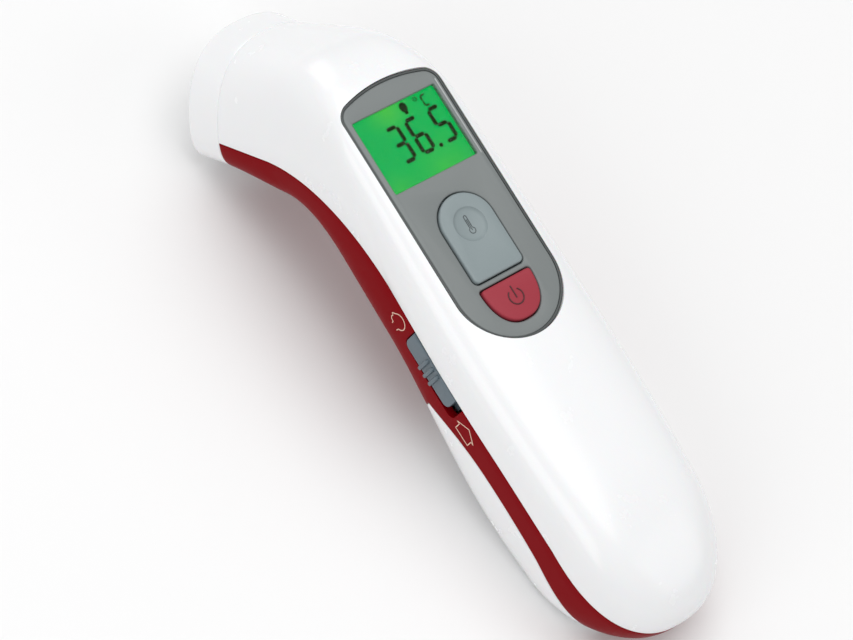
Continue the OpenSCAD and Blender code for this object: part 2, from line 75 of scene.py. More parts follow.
import bmesh
import bpy
from bpy.props import FloatProperty, FloatVectorProperty, PointerProperty
from mathutils import Matrix, Vector
from mathutils.bvhtree import BVHTree

for leftover in list(bpy.data.objects):
    bpy.data.objects.remove(leftover)
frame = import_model()
MM = 1000.0

# The rest pose: how far the handle tips down, and where the handle's origin stands
PRESS_AXIS = next(j["axis"] for j in frame["joints"] if j["name"] == "scan_press")
TILT = math.atan2(-PRESS_AXIS[0], -PRESS_AXIS[2])
PANEL_WIDTH = (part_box("display_panel")[1].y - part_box("display_panel")[0].y) * MM
LEVEL = Matrix.Rotation(-TILT, 4, "Y")
PANEL_POINTS = [LEVEL @ v.co for v in frame["nodes"]["display_panel"].data.vertices]
ORIGIN = LEVEL.inverted() @ Vector((
    max(p.x for p in PANEL_POINTS) - PANEL_WIDTH / 2 / MM, 0, max(p.z for p in PANEL_POINTS)))
TO_REST = Matrix.Translation(ORIGIN) @ Matrix.Rotation(TILT, 4, "Y") @ Matrix.Scale(1 / MM, 4)
FLOOR_Z = -ORIGIN.z * MM


def size(default_mm, name, description):
    """A length that a user may change."""
    return FloatProperty(name=name, description=description, default=default_mm / MM, unit="LENGTH",
                         precision=5)


def colour(value, name, description):
    """A colour that a user may change."""
    return FloatVectorProperty(name=name, description=description, default=value, size=3,
                               subtype="COLOR", min=0, max=1)


class CoverSizes(bpy.types.PropertyGroup):
    """Sizes of the covers, the band and the nozzle."""
    handle_width: size(38.4, "Handle width", "Width of the handle where it is widest")
    tip_x: size(81, "Butt", "Distance from the panel's round end to the butt")
    crown: size(1.0, "Crown", "Height of the front cover above the panel")
    seam_depth: size(11.6, "Seam depth", "Depth of the side seam below the panel")
    back_depth: size(26.7, "Back depth", "Depth of the rear wall behind the display")
    bulge: size(7.4, "Battery bulge", "How much further the battery bulge stands out")
    wall: size(1.8, "Wall", "Wall thickness of the covers")
    door_gap: size(0.15, "Door gap", "Gap round the battery door")
    door_x: size(12.5, "Door front", "Front edge of the battery door")
    band_height: size(7.1, "Band height", "Width of the coloured band above the battery door")
    edge_round: size(0.3, "Edge rounding", "Radius of the rounded seam edges")
    head_width: size(35.6, "Head width", "Width of the head at the seam")
    head_angle: FloatProperty(name="Head angle", description="Angle of the nozzle below the handle",
                              default=math.radians(49), unit="ROTATION")
    head_rise: size(20.5, "Head rise", "Height of the head's section from seam to crown")
    head_drop: size(9, "Head drop", "Depth of the head's section below the seam")
    collar_length: size(10.8, "Collar length", "Length of the nozzle collar")
    barrel_width: size(20, "Barrel bore", "Diameter of the bore for the sensor barrel")
    mouth_width: size(16, "Mouth", "Diameter of the barrel's open mouth")


class PanelSizes(bpy.types.PropertyGroup):
    """Sizes of the display panel, the window and the keys."""
    width: size(PANEL_WIDTH, "Panel width", "Width of the panel and of its round end")
    length: size(50.5, "Panel length", "Distance from the round end's centre to the top edge")
    corner: size(4, "Corner", "Radius of the panel's top corners")
    thickness: size(2.4, "Panel thickness", "Thickness of the panel")
    rim: size(0.55, "Rim", "Width of the dark rim")
    window_width: size(22.8, "Window width", "Width of the display window")
    window_height: size(17.8, "Window height", "Height of the display window along the handle")
    window_edge: size(5.8, "Window margin", "Distance from the top edge to the window")
    key_width: size(13.5, "Key width", "Width of the two keys")
    scan_length: size(19.5, "Scan key", "Length of the scan key")
    power_length: size(9.4, "Power key", "Length of the power key")
    key_gap: size(1.8, "Key spacing", "Gap between the two keys")
    key_proud: size(0.5, "Key height", "Height of the keys above the panel")
    key_clear: size(0.2, "Key gap", "Running gap round each key")
    dish: size(3.9, "Dish", "Radius of the scan key's finger dish")
    dish_depth: size(0.7, "Dish depth", "Depth of the finger dish")


class SliderSizes(bpy.types.PropertyGroup):
    """Sizes of the mode slider and of its notch."""
    x: size(-0.6, "Slider start", "Place of the slider's front end along the handle")
    length: size(17, "Slider length", "Length of the thumb plate")
    height: size(5.2, "Slider height", "Height of the thumb plate")
    drop: size(0.35, "Slider drop", "Distance from the seam down to the thumb plate")
    travel: size(2.2, "Slider travel", "How far the slider moves")
    clear: size(0.3, "Slider gap", "Gap between the slider and its notch")
    guide_gap: size(1.0, "Guide gap", "Gap between the wall and the guide plate")
    rib_pitch: size(2.0, "Rib pitch", "Distance between the thumb ribs")


class Finishes(bpy.types.PropertyGroup):
    """Colours of the mouldings, keys and display."""
    cover: colour((0.86, 0.865, 0.875), "Covers", "White moulded covers")
    band: colour((0.215, 0.001, 0.004), "Band", "Dark red rear housing and band")
    panel: colour((0.196, 0.214, 0.212), "Panel", "Grey display panel")
    rim: colour((0.058, 0.066, 0.065), "Panel rim", "Dark edge of the display panel")
    scan_key: colour((0.245, 0.292, 0.3), "Scan key", "Blue grey scan key")
    power_key: colour((0.34, 0.038, 0.055), "Power key", "Red power key")
    slider: colour((0.112, 0.149, 0.174), "Slider", "Blue grey mode slider")
    glow: colour((0.0, 0.42, 0.07), "Display glow", "Lit colour of the display")
    glow_warm: colour((0.09, 0.56, 0.035), "Display hot spot", "Colour near the display's lamps")
    digit: colour((0.012, 0.03, 0.008), "Digits", "Dark segments of the display")
    mark: colour((0.83, 0.6, 0.46), "Marks", "Cream line marks on the band")


def in_mm(group):
    """The group's values by name, with its lengths in millimetres."""
    values = {}
    for prop in group.bl_rna.properties:
        if prop.identifier not in ("rna_type", "name"):
            value = getattr(group, prop.identifier)
            values[prop.identifier] = value * MM if prop.unit == "LENGTH" else value
    return SimpleNamespace(**values)


def ease(t):
    """A step from 0 to 1 that starts and ends gently."""
    t = max(0.0, min(1.0, t))
    return t * t * (3 - 2 * t)


def mix(a, b, t):
    """The value a fraction t of the way from a to b."""
    return a + (b - a) * t


def signed_power(value, power):
    """A power that keeps its base's sign."""
    return math.copysign(abs(value) ** power, value)


def quarter_round(steps, radius):
    """Pairs of shift along a face and depth below it, from a rounded edge's foot to its top."""
    angles = [math.pi / 2 * i / steps for i in range(steps + 1)]
    return [(radius * (1 - math.cos(a)), radius * (1 - math.sin(a))) for a in angles]


class CoverShape:
    """The covers' surface, as sections along the nozzle, the bend and the handle.

    A section's place q is 0 at the collar, 1 and 2 at the bend's ends, 3 where the straight handle
    starts and 4 at the butt. An angle of a quarter turn either way is a side seam, and 0 is the
    crown of the upper half or the rear of the lower half.
    """
    JOIN_X = 8.0
    BAND_X = 33.0
    LAND_X = 44.0
    BUTT_FULL = 2.4

    def __init__(self, sizes):
        self.s = s = in_mm(sizes)
        angle = s.head_angle
        self.along = Vector((-math.cos(angle), -math.sin(angle)))
        self.across = Vector((-math.sin(angle), math.cos(angle)))
        self.seam_arc = (-12.0, -s.seam_depth, 52.0, angle)
        self.crown_arc = (-46.5, s.crown, 23.0, angle + math.radians(8))
        start = self.arc_point(self.seam_arc, angle)
        self.seam_end = start + 16.8 * self.along
        self.crown_end = self.seam_end + s.head_rise * self.across
        self.rear_end = self.seam_end - s.head_drop * self.across
        radius, bend = 15.0, angle - math.radians(1)
        run = (-s.back_depth - radius * (1 - math.cos(bend)) - self.rear_end.y) / math.sin(bend)
        rear_x = self.rear_end.x + radius * math.sin(bend) + run * math.cos(bend)
        self.rear_arc = (rear_x, -s.back_depth, radius, bend)
        self.nozzle = (self.crown_end + self.rear_end) / 2 + s.collar_length * self.along

    @staticmethod
    def arc_point(arc, turn):
        """A point of a bend, turned back from its start."""
        x, z, radius, _ = arc
        return Vector((x - radius * math.sin(turn), z - radius * (1 - math.cos(turn))))

    def line_point(self, q, arc, end):
        """A point of the seam, crown or rear line: the nozzle's run, the bend, then the handle."""
        if q <= 0:
            return end - q * self.s.collar_length * self.along
        if q <= 1:
            return mix(end, self.arc_point(arc, arc[3]), q)
        if q <= 2:
            return self.arc_point(arc, arc[3] * (2 - q))
        return Vector((mix(arc[0], self.JOIN_X, q - 2), arc[1]))

    def butt(self, x, start, inset):
        """How full the section still is on the way to the butt, from 1 down to 0."""
        if x <= start:
            return 1.0
        along = (x - start) / (self.s.tip_x - inset - start)
        return max(0.0, 1 - along ** self.BUTT_FULL) ** (1 / self.BUTT_FULL)

    def seam_z(self, x):
        return -self.s.seam_depth - 2.5 * ease((x - 30) / (self.s.tip_x - 35))

    def handle_half(self, x):
        return self.s.handle_width / 2 - 2.4 * ((x - 18) / 53) ** 2

    def rear_z(self, x):
        return -self.s.back_depth - self.s.bulge * ease((x + 5) / 49)

    def band_z(self, x):
        """Lower edge of the band above the battery door."""
        spread = 100 if x < self.BAND_X else 220
        return -self.s.seam_depth - self.s.band_height - (x - self.BAND_X) ** 2 / spread

    def floor_z(self, x):
        """Height of the floor under the resting object."""
        return (FLOOR_Z + x * math.sin(TILT)) / math.cos(TILT)

    def section(self, q, inset=0.0):
        """Crown, seam and rear points, half width, upper and lower squareness, and lean."""
        upper = (mix(2.6, 3.7, max(q, 0)) if q <= 1 else mix(3.7, 5.2, q - 1) if q <= 2
                 else mix(5.2, 3.7, ease(q - 2)))
        lower = mix(3.2, 5, ease(q / 1.5))
        if q <= 3:
            seam = self.line_point(q, self.seam_arc, self.seam_end)
            crown = self.line_point(q, self.crown_arc, self.crown_end)
            rear = self.line_point(q, self.rear_arc, self.rear_end)
            if q > 2:
                rear = Vector((rear.x, self.rear_z(rear.x)))
            head, bend = self.s.head_width / 2, self.handle_half(self.seam_arc[0]) - 0.2
            half = (mix(head, head - 0.7, q) if q <= 1 else mix(head - 0.7, bend, ease(q - 1))
                    if q <= 2 else mix(bend, self.handle_half(self.JOIN_X), q - 2))
            lean = mix(0.13, 0.07, max(q, 0) / 2) if q <= 2 else mix(0.07, 0, ease(q - 2))
            return crown, seam, rear, half, upper, lower, lean
        tip = self.s.tip_x
        x = self.JOIN_X + (tip - inset - self.JOIN_X) * math.sin(math.pi / 2 * (q - 3))
        z = self.seam_z(x)
        crown = z + (self.s.crown - z) * self.butt(x, tip - 36, inset)
        rear = z + (self.rear_z(x) - z) * self.butt(x, tip - 37, inset)
        half = self.handle_half(min(x, tip - 27)) * self.butt(x, tip - 27, inset)
        rounding = ease((x - tip + 26) / 26)
        return (Vector((x, crown)), Vector((x, z)), Vector((x, rear)), half,
                mix(3.7, self.BUTT_FULL, rounding), mix(5, self.BUTT_FULL, rounding), 0.0)

    def q_at(self, x):
        """The section's place for a point x of the straight handle."""
        reach = (x - self.JOIN_X) / (self.s.tip_x - self.JOIN_X)
        return 3 + math.asin(max(0.0, min(1.0, reach))) / (math.pi / 2)

    def point(self, q, angle, inset=0.0, upper=True, lift=0.0):
        """A point of the surface or, with an inset, of a wall below it."""
        crown, seam, rear, half, upper_square, lower_square, lean = self.section(q, inset)
        end, square = (crown, upper_square) if upper else (rear, lower_square)
        length = max((end - seam).length, 0.02)
        direction = (end - seam) / length
        reach = max(math.cos(angle), 0.0) ** (2 / square)
        rise = max(max(length - inset, 0.0) * reach, lift)
        width = max(half - inset, 0.0) * ((1 - lean * reach) if upper else 1)
        x, z = seam + direction * rise
        y = width * signed_power(math.sin(angle), 2 / square)
        wall = inset if inset > 1 else 0.0
        return Vector((x, y, max(z, self.floor_z(x) + wall)))

    def door_angle(self, x, gap):
        """Angle at which a section of the back crosses the band's lower edge."""
        x = max(x, self.s.door_x)
        _, seam, rear, _, _, square, _ = self.section(self.q_at(x))
        depth = max(seam.y - rear.y, 0.02)
        part = (seam.y - self.band_z(x) - gap) / depth
        return math.acos(min(1.0, part ** (square / 2)))


def grid(columns, rows):
    """A flat bmesh grid whose vertices know their column and row."""
    bm = bmesh.new()
    across, up = len(columns) - 1, len(rows) - 1
    bmesh.ops.create_grid(bm, x_segments=across, y_segments=up, size=1)
    steps = [(v, columns[round((v.co.x + 1) / 2 * across)], rows[round((v.co.y + 1) / 2 * up)])
             for v in bm.verts]
    return bm, steps


def close(bm, distance=0.004):
    """Merges what meets, drops what has no area and turns the faces outwards."""
    bmesh.ops.remove_doubles(bm, verts=bm.verts[:], dist=distance)
    bmesh.ops.dissolve_degenerate(bm, edges=bm.edges[:], dist=distance / 2)
    bmesh.ops.recalc_face_normals(bm, faces=bm.faces[:])


def new_piece(name, bm, material, body, replaces=(), sharp=35, placed=True):
    """Turns a bmesh in handle millimetres into a finished piece that rides on a body."""
    if placed:
        bmesh.ops.transform(bm, matrix=TO_REST, verts=bm.verts[:])
    mesh = bpy.data.meshes.new(name)
    bm.to_mesh(mesh)
    bm.free()
    mesh.polygons.foreach_set("use_smooth", [True] * len(mesh.polygons))
    mesh.set_sharp_from_angle(angle=math.radians(sharp))
    mesh.materials.append(material)
    piece = bpy.data.objects.new(name, mesh)
    bpy.context.scene.collection.objects.link(piece)
    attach(piece, body)
    if replaces:
        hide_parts(*replaces)
    return piece


def combine(bm, tool, operation="DIFFERENCE"):
    """The first bmesh with the second one cut from it, joined to it or kept inside it."""
    objects = []
    for source in (bm, tool):
        mesh = bpy.data.meshes.new("work")
        source.to_mesh(mesh)
        source.free()
        objects.append(bpy.data.objects.new("work", mesh))
        bpy.context.scene.collection.objects.link(objects[-1])
    base, cutter = objects
    modifier = base.modifiers.new("Cut", "BOOLEAN")
    modifier.operation = operation
    modifier.solver = "EXACT"
    modifier.object = cutter
    graph = bpy.context.evaluated_depsgraph_get()
    result = bmesh.new()
    result.from_mesh(base.evaluated_get(graph).to_mesh())
    for used in objects:
        mesh = used.data
        bpy.data.objects.remove(used)
        bpy.data.meshes.remove(mesh)
    close(result)
    return result


QUARTER = math.pi / 2


def spread(start, end, count, skip_first=False):
    """Evenly spaced values from start to end."""
    return [mix(start, end, i / count) for i in range(1 if skip_first else 0, count + 1)]


def place_all(steps, where):
    """Moves each grid vertex to the point that its column and row give."""
    for vertex, column, row in steps:
        vertex.co = where(column, row)


def front_cover_mesh(shape):
    """The white upper shell: outer skin, rounded seam edges, inner skin and the nozzle end."""
    s = shape.s
    edge = quarter_round(4, s.edge_round)
    head_length = (shape.seam_end - shape.arc_point(shape.seam_arc, shape.seam_arc[3])).length
    columns = [(0.0, None)] + [(shift / head_length, depth) for shift, depth in edge]
    columns += [(q, 0.0) for q in spread(edge[-1][0] / head_length, 1, 14, True)]
    columns += [(q, 0.0) for q in spread(1, 2, 40, True) + spread(2, 3, 18, True)]
    columns += [(q, 0.0) for q in spread(3, 4, 60, True)]
    foot = [(QUARTER, depth, shift, False) for shift, depth in edge]
    arch = [(QUARTER * t, 0.0, s.edge_round, False) for t in spread(-1, 1, 80)[1:-1]]
    outer = [(-a, d, lift, inner) for a, d, lift, inner in foot] + arch + foot[::-1]
    rows = outer + [(angle, 0.0, 0.0, True) for angle, *_ in reversed(outer)] + [outer[0]]

    def where(column, row):
        q, q_depth = column
        angle, depth, lift, inner = row
        if inner or q_depth is None:
            return shape.point(q, angle, s.wall, True)
        return shape.point(q, angle, max(depth, q_depth), True, lift)

    bm, steps = grid(columns, rows)
    place_all(steps, where)
    close(bm)
    return bm


def edge_depth(distance, radius):
    """How far a rounded edge drops at a distance from the edge."""
    if distance >= radius:
        return 0.0
    return radius - math.sqrt(radius ** 2 - (radius - max(distance, 0.0)) ** 2)


def door_end(shape, gap):
    """Where the battery door's outline closes near the butt."""
    low, high = shape.LAND_X, shape.s.tip_x
    for _ in range(40):
        middle = (low + high) / 2
        if shape.door_angle(middle, gap) > 0:
            low = middle
        else:
            high = middle
    return low


def back_rows(shape, gap_sign):
    """Rows across the back, from one side of the door's outline to the other."""
    edge = quarter_round(4, shape.s.edge_round)
    sides = [("edge", gap_sign * shift) for shift, _ in edge]
    middle = [("back", t) for t in spread(-1, 1, 40)[1:-1]]
    return sides, middle


def row_angle(shape, x, row, gap):
    """Angle of a row where it crosses the section at x."""
    kind, value, side = row
    if kind == "seam":
        return side * QUARTER
    if kind == "band":
        return side * mix(shape.door_angle(x, gap), QUARTER, value)
    if kind == "edge":
        return side * shape.door_angle(x, gap + value)
    return shape.door_angle(x, gap) * value


def rear_housing_mesh(shape):
    """The dark red lower shell with its band, open where the battery door sits."""
    s = shape.s
    edge = quarter_round(4, s.edge_round)
    start, end = s.door_x, door_end(shape, 0.0)
    head_length = (shape.seam_end - shape.arc_point(shape.seam_arc, shape.seam_arc[3])).length
    columns = [(0.0, None)] + [(shift / head_length, depth) for shift, depth in edge]
    columns += [(q, 0.0) for q in spread(edge[-1][0] / head_length, 1, 12, True)]
    columns += [(q, 0.0) for q in spread(1, 2, 36, True) + spread(2, 3, 16, True)]
    columns += [(shape.q_at(x), 0.0) for x in spread(shape.JOIN_X, start - s.edge_round, 4, True)]
    columns += [(shape.q_at(start - shift), 0.0) for shift, _ in reversed(edge[:-1])]
    columns += [(shape.q_at(mix(start, end, math.sin(QUARTER * t))), 0.0) for t in spread(0, 1, 44, True)]
    columns += [(q, 0.0) for q in spread(shape.q_at(end), 4, 16, True)]
    sides, middle = back_rows(shape, 1)
    half = [("seam", pair, 1) for pair in edge] + [("band", t, 1) for t in spread(1, 0, 14)[1:-1]]
    half += [("edge", value, 1) for _, value in reversed(sides)]
    outer = [(kind, value, -1) for kind, value, _ in half]
    outer += [(kind, value, 1) for kind, value in middle] + half[::-1]
    rows = [(row, False) for row in outer] + [(row, True) for row in reversed(outer)]
    rows.append((outer[0], False))
    start_q = shape.q_at(start)

    def where(column, entry):
        (q, q_depth), (row, inner) = column, entry
        x = shape.section(q)[1].x
        angle = row_angle(shape, x, row, 0.0)
        if inner or q_depth is None:
            return shape.point(q, angle, s.wall, False)
        if row[0] == "seam":
            shift, depth = row[1]
            return shape.point(q, angle, max(depth, q_depth), False, shift)
        bare = shape.point(q, angle, 0.0, False, s.edge_round)
        above = max(0.0, bare.z - shape.band_z(max(x, start)))
        away = math.hypot(max(0.0, start - x), above)
        depth = edge_depth(away, s.edge_round) if q > 2 else 0.0
        return shape.point(q, angle, max(depth, q_depth), False, s.edge_round)

    bm, steps = grid(columns, rows)
    opening = {v for v, column, (row, _) in steps if column[0] >= start_q - 1e-6
               and (row[0] == "back" or row[0] == "edge" and row[1] == 0)}
    place_all(steps, where)
    inside = [f for f in bm.faces if all(v in opening for v in f.verts)]
    bmesh.ops.delete(bm, geom=inside, context="FACES_ONLY")
    bmesh.ops.delete(bm, geom=[e for e in bm.edges if not e.link_faces], context="EDGES")
    bmesh.ops.delete(bm, geom=[v for v in bm.verts if not v.link_edges], context="VERTS")
    bmesh.ops.remove_doubles(bm, verts=bm.verts[:], dist=0.004)
    bmesh.ops.dissolve_degenerate(bm, edges=bm.edges[:], dist=0.002)
    rim = [e for e in bm.edges if e.is_boundary]
    bmesh.ops.bridge_loops(bm, edges=rim)
    bmesh.ops.recalc_face_normals(bm, faces=bm.faces[:])
    return bm


def battery_door_mesh(shape):
    """The white door over the battery bulge, with the flat land that it rests on."""
    s = shape.s
    edge = quarter_round(4, s.edge_round)
    gap = -s.door_gap
    start, end = s.door_x + s.door_gap, door_end(shape, gap)
    places = [start + shift for shift, _ in edge]
    places += [mix(places[-1], end, math.sin(QUARTER * t)) for t in spread(0, 1, 70, True)]
    columns = [(start, True)] + [(x, False) for x in places]
    sides, middle = back_rows(shape, -1)
    half = [("edge", value, 1) for _, value in sides]
    outer = [(kind, value, -1) for kind, value, _ in half]
    outer += [(kind, value, 1) for kind, value in middle] + half[::-1]
    rows = [(row, False) for row in outer] + [(row, True) for row in reversed(outer)]
    rows.append((outer[0], False))

    def where(column, entry):
        (x, cap), (row, inner) = column, entry
        q = shape.q_at(x)
        angle = row_angle(shape, x, row, gap)
        if inner or cap:
            return shape.point(q, angle, s.wall, False)
        bare = shape.point(q, angle, 0.0, False)
        inward = min(x - start, shape.band_z(x) + gap - bare.z)
        return shape.point(q, angle, edge_depth(inward, s.edge_round), False)

    bm, steps = grid(columns, rows)
    place_all(steps, where)
    close(bm)
    return bm


def nozzle_collar_mesh(shape):
    """The ring at the nozzle: outer skin, rounded rim, sloping face and the barrel's bore."""
    s = shape.s
    rim, lip = 1.6, 0.5
    edge = quarter_round(4, s.edge_round)
    rim_round = quarter_round(6, rim)
    bore = s.barrel_width / 2
    columns = [("skin", -shift / s.collar_length, depth) for shift, depth in edge]
    first, last = -edge[-1][0] / s.collar_length, -1 + rim / s.collar_length
    columns += [("skin", q, 0.0) for q in spread(first, last, 10, True)]
    columns += [("skin", -1 + shift / s.collar_length, depth) for shift, depth in reversed(rim_round[:-1])]
    columns += [("bore", -0.12, bore + lip), ("bore", 0.0, bore + 0.15), ("bore", 0.15, bore)]
    columns += [("bore", s.collar_length, bore), columns[0]]
    turns = [(QUARTER * t, True) for t in spread(-1, 1, 60)]
    turns += [(QUARTER * t, False) for t in spread(1, -1, 60, True)]

    def where(column, row):
        (kind, value, extra), (angle, upper) = column, row
        if kind == "skin":
            return shape.point(value, angle, extra, upper)
        skin = shape.point(-1.0, angle, 0.0, upper)
        arm = Vector((skin.x, skin.z)) - shape.nozzle
        turn = math.atan2(skin.y, arm.dot(shape.across))
        x, z = shape.nozzle - (value + 0.05) * shape.along + extra * math.cos(turn) * shape.across
        return Vector((x, extra * math.sin(turn), z))

    bm, steps = grid(columns, turns)
    place_all(steps, where)
    close(bm)
    return bm


def arc(x, y, radius, start, end, steps=14):
    """Points of a round stretch between two angles in degrees."""
    return [(x + radius * math.cos(math.radians(a)), y + radius * math.sin(math.radians(a)))
            for a in spread(start, end, steps)]


def curve_mesh(curve):
    """A bmesh of a curve, with its seams closed."""
    holder = bpy.data.objects.new("work", curve)
    bpy.context.scene.collection.objects.link(holder)
    graph = bpy.context.evaluated_depsgraph_get()
    bm = bmesh.new()
    bm.from_mesh(holder.evaluated_get(graph).to_mesh())
    bpy.data.objects.remove(holder)
    bpy.data.curves.remove(curve)
    close(bm, 0.001)
    return bm


def add_line(curve, points, closed):
    """Adds one straight-sided line to a curve."""
    line = curve.splines.new("POLY")
    line.points.add(len(points) - 1)
    for knot, place in zip(line.points, points):
        knot.co = (*place, 1) if len(place) == 3 else (*place, 0, 1)
    line.use_cyclic_u = closed


def flat_plate(outlines, top, thickness, rounding=0.0):
    """A plate with holes, its top at a height and its edges rounded."""
    curve = bpy.data.curves.new("outline", "CURVE")
    curve.dimensions = "2D"
    curve.fill_mode = "BOTH"
    curve.extrude = thickness / 2 - rounding
    curve.bevel_depth = rounding
    curve.bevel_resolution = 3
    curve.offset = -rounding
    for outline in outlines:
        add_line(curve, outline, True)
    bm = curve_mesh(curve)
    bmesh.ops.translate(bm, vec=(0, 0, top - thickness / 2), verts=bm.verts[:])
    return bm


def stroke(lines, radius, closed=False):
    """Round lines of one thickness along lists of points."""
    curve = bpy.data.curves.new("stroke", "CURVE")
    curve.dimensions = "3D"
    curve.bevel_depth = radius
    curve.bevel_resolution = 2
    curve.use_fill_caps = not closed
    for points in lines:
        add_line(curve, points, closed)
    return curve_mesh(curve)


def spun(profile, steps=96, matrix=None):
    """A solid turned from a closed profile of radius and height pairs round the local Z axis."""
    bm = bmesh.new()
    ring = [bm.verts.new((r, 0, z)) for r, z in profile]
    edges = [bm.edges.new((a, b)) for a, b in zip(ring, ring[1:] + ring[:1])]
    bmesh.ops.spin(bm, geom=ring + edges, cent=(0, 0, 0), axis=(0, 0, 1), dvec=(0, 0, 0),
                   angle=math.tau, steps=steps, use_merge=True)
    close(bm)
    if matrix is not None:
        bmesh.ops.transform(bm, matrix=matrix, verts=bm.verts[:])
    return bm


def block(low, high, rounding=0.0, segments=3):
    """A box between two corners with rounded edges."""
    bm = bmesh.new()
    low, high = Vector(low), Vector(high)
    scale = Matrix.Diagonal((*(high - low), 1))
    bmesh.ops.create_cube(bm, size=1, matrix=Matrix.Translation((low + high) / 2) @ scale)
    if rounding:
        bmesh.ops.bevel(bm, geom=bm.edges[:], offset=rounding, segments=segments, profile=0.5,
                        affect="EDGES", material=-1)
    return bm


def drum(x, y, bottom, top, radius, rounding=0.0, segments=48):
    """An upright round part with rounded edges."""
    bm = bmesh.new()
    middle = Matrix.Translation((x, y, (bottom + top) / 2))
    bmesh.ops.create_cone(bm, cap_ends=True, segments=segments, radius1=radius, radius2=radius,
                          depth=top - bottom, matrix=middle)
    if rounding:
        rims = [e for e in bm.edges if any(len(f.verts) > 4 for f in e.link_faces)]
        bmesh.ops.bevel(bm, geom=rims, offset=rounding, segments=3, profile=0.5,
                        affect="EDGES", material=-1)
    return bm


def joined(*parts):
    """Several bmeshes as one."""
    whole = bmesh.new()
    for part in parts:
        mesh = bpy.data.meshes.new("work")
        part.to_mesh(mesh)
        part.free()
        whole.from_mesh(mesh)
        bpy.data.meshes.remove(mesh)
    return whole


PANEL_BOW = 1.3


def panel_outline(p, grow=0.0):
    """The panel's outline: a round end, straight sides and a slightly bowed top edge."""
    corner, side = p.corner + grow, p.width / 2 - p.corner
    tilt = math.atan(2 * PANEL_BOW / side)
    last = side + corner * math.sin(tilt)
    top = -p.length - grow

    def top_x(y):
        return top + PANEL_BOW * (y / side) ** 2

    corner_x = top_x(last) + corner * math.cos(tilt)
    turn = 180 - math.degrees(tilt)
    bowed = [(top_x(y), y) for y in spread(last, -last, 16)[1:-1]]
    return (arc(0, 0, p.width / 2 + grow, -90, 90, 48) + arc(corner_x, side, corner, 90, turn)
            + bowed + arc(corner_x, -side, corner, 360 - turn, 270))


def scan_outline(p, grow=0.0):
    """The scan key's outline: an arch with a square end."""
    corner, half = 1.2, p.key_width / 2
    centre = -p.key_gap - p.scan_length + half
    return (arc(centre, 0, half + grow, 90, 270, 36)
            + arc(-p.key_gap - corner, corner - half, corner + grow, 270, 360, 8)
            + arc(-p.key_gap - corner, half - corner, corner + grow, 0, 90, 8))


def power_outline(p, grow=0.0):
    """The power key's outline: a straight edge with rounded corners and a full round end."""
    corner, half, power = 0.8, p.key_width / 2 + grow, 2 / 2.4
    full = p.power_length + 2 * grow
    end = [(-grow + full * math.cos(a) ** power, half * signed_power(math.sin(a), power))
           for a in spread(-QUARTER, QUARTER, 48)[1:-1]]
    end = [point for point in end if point[0] > corner - grow]
    return (arc(corner - grow, corner - half, corner, 180, 270, 6) + end
            + arc(corner - grow, half - corner, corner, 90, 180, 6))


def window_outline(p, grow=0.0, corner=0.4):
    """The display window's outline."""
    x0 = -p.length + p.window_edge - grow
    x1, half = x0 + p.window_height + 2 * grow, p.window_width / 2 + grow
    return (arc(x1 - corner, half - corner, corner, 0, 90, 4)
            + arc(x0 + corner, half - corner, corner, 90, 180, 4)
            + arc(x0 + corner, corner - half, corner, 180, 270, 4)
            + arc(x1 - corner, corner - half, corner, 270, 360, 4))


DISH_STEP = 0.42
DISH_FLOOR = 3.35


def scan_centre(p):
    """Centre of the scan key's dish along the handle."""
    return -p.key_gap - p.scan_length + p.key_width / 2 + 0.6


def dish_height(p, away):
    """Height of the dish's surface at a distance from its centre."""
    return p.key_proud - p.dish_depth + (p.dish_depth - DISH_STEP) * (away / DISH_FLOOR) ** 2


def key_foot(p, outline, x, limit):
    """The flange under the panel and the stem that meets the switch."""
    flange_top = -p.thickness - 0.05
    flange = combine(flat_plate([outline], flange_top, 0.9, 0.1),
                     block((limit[0], -20, -9), (limit[1], 20, 9)), "INTERSECT")
    return combine(flange, drum(x, 0, -4.2, flange_top - 0.4, 2.2, 0.1), "UNION")


def scan_key_mesh(p):
    """The scan key: rounded cap, stepped finger dish, flange and stem."""
    cap = flat_plate([scan_outline(p)], p.key_proud, p.key_proud + p.thickness + 0.3, 0.45)
    lip = 0.16
    rounded = [(p.dish + lip - r, p.key_proud - lip + z) for r, z in arc(0, 0, lip, 90, 20, 5)]
    hollow = [(0, 3), (p.dish + lip, 3)] + rounded
    hollow += [(r, dish_height(p, r)) for r in spread(DISH_FLOOR, 0, 12)]
    cap = combine(cap, spun(hollow, 128, Matrix.Translation((scan_centre(p), 0, 0))))
    foot = key_foot(p, scan_outline(p, 0.7), scan_centre(p), (-60, -1))
    return combine(cap, foot, "UNION")


def scan_mark_mesh(p):
    """The fine thermometer outline in the dish: a slim tube with a bulb."""
    x = scan_centre(p)
    tube = arc(-1.9, 0, 0.34, 90, 270, 8) + arc(1.35, 0, 0.72, 208, 512, 18)
    lifted = [(x + u, v, dish_height(p, math.hypot(u, v)) + 0.02) for u, v in tube]
    line = [(x + u, 0.0, dish_height(p, abs(u)) + 0.02) for u in spread(-1.3, 1.3, 8)]
    return joined(stroke([lifted], 0.09, True), stroke([line], 0.08))


def power_key_mesh(p):
    """The power key: rounded cap, flange and stem."""
    cap = flat_plate([power_outline(p)], p.key_proud, p.key_proud + p.thickness + 0.3, 0.45)
    foot = key_foot(p, power_outline(p, 0.7), p.power_length * 0.42 + 0.6, (-0.7, 30))
    return combine(cap, foot, "UNION")


def power_mark_mesh(p):
    """The power symbol: a broken ring and a bar."""
    x, top, radius = p.power_length * 0.46, p.key_proud + 0.01, 1.8
    ring = [(u, v, top) for u, v in arc(x, 0, radius, -142, 142, 40)]
    bar = [(u, 0, top) for u in (x - radius - 0.75, x + 0.35)]
    return joined(stroke([ring], 0.17), stroke([bar], 0.17))


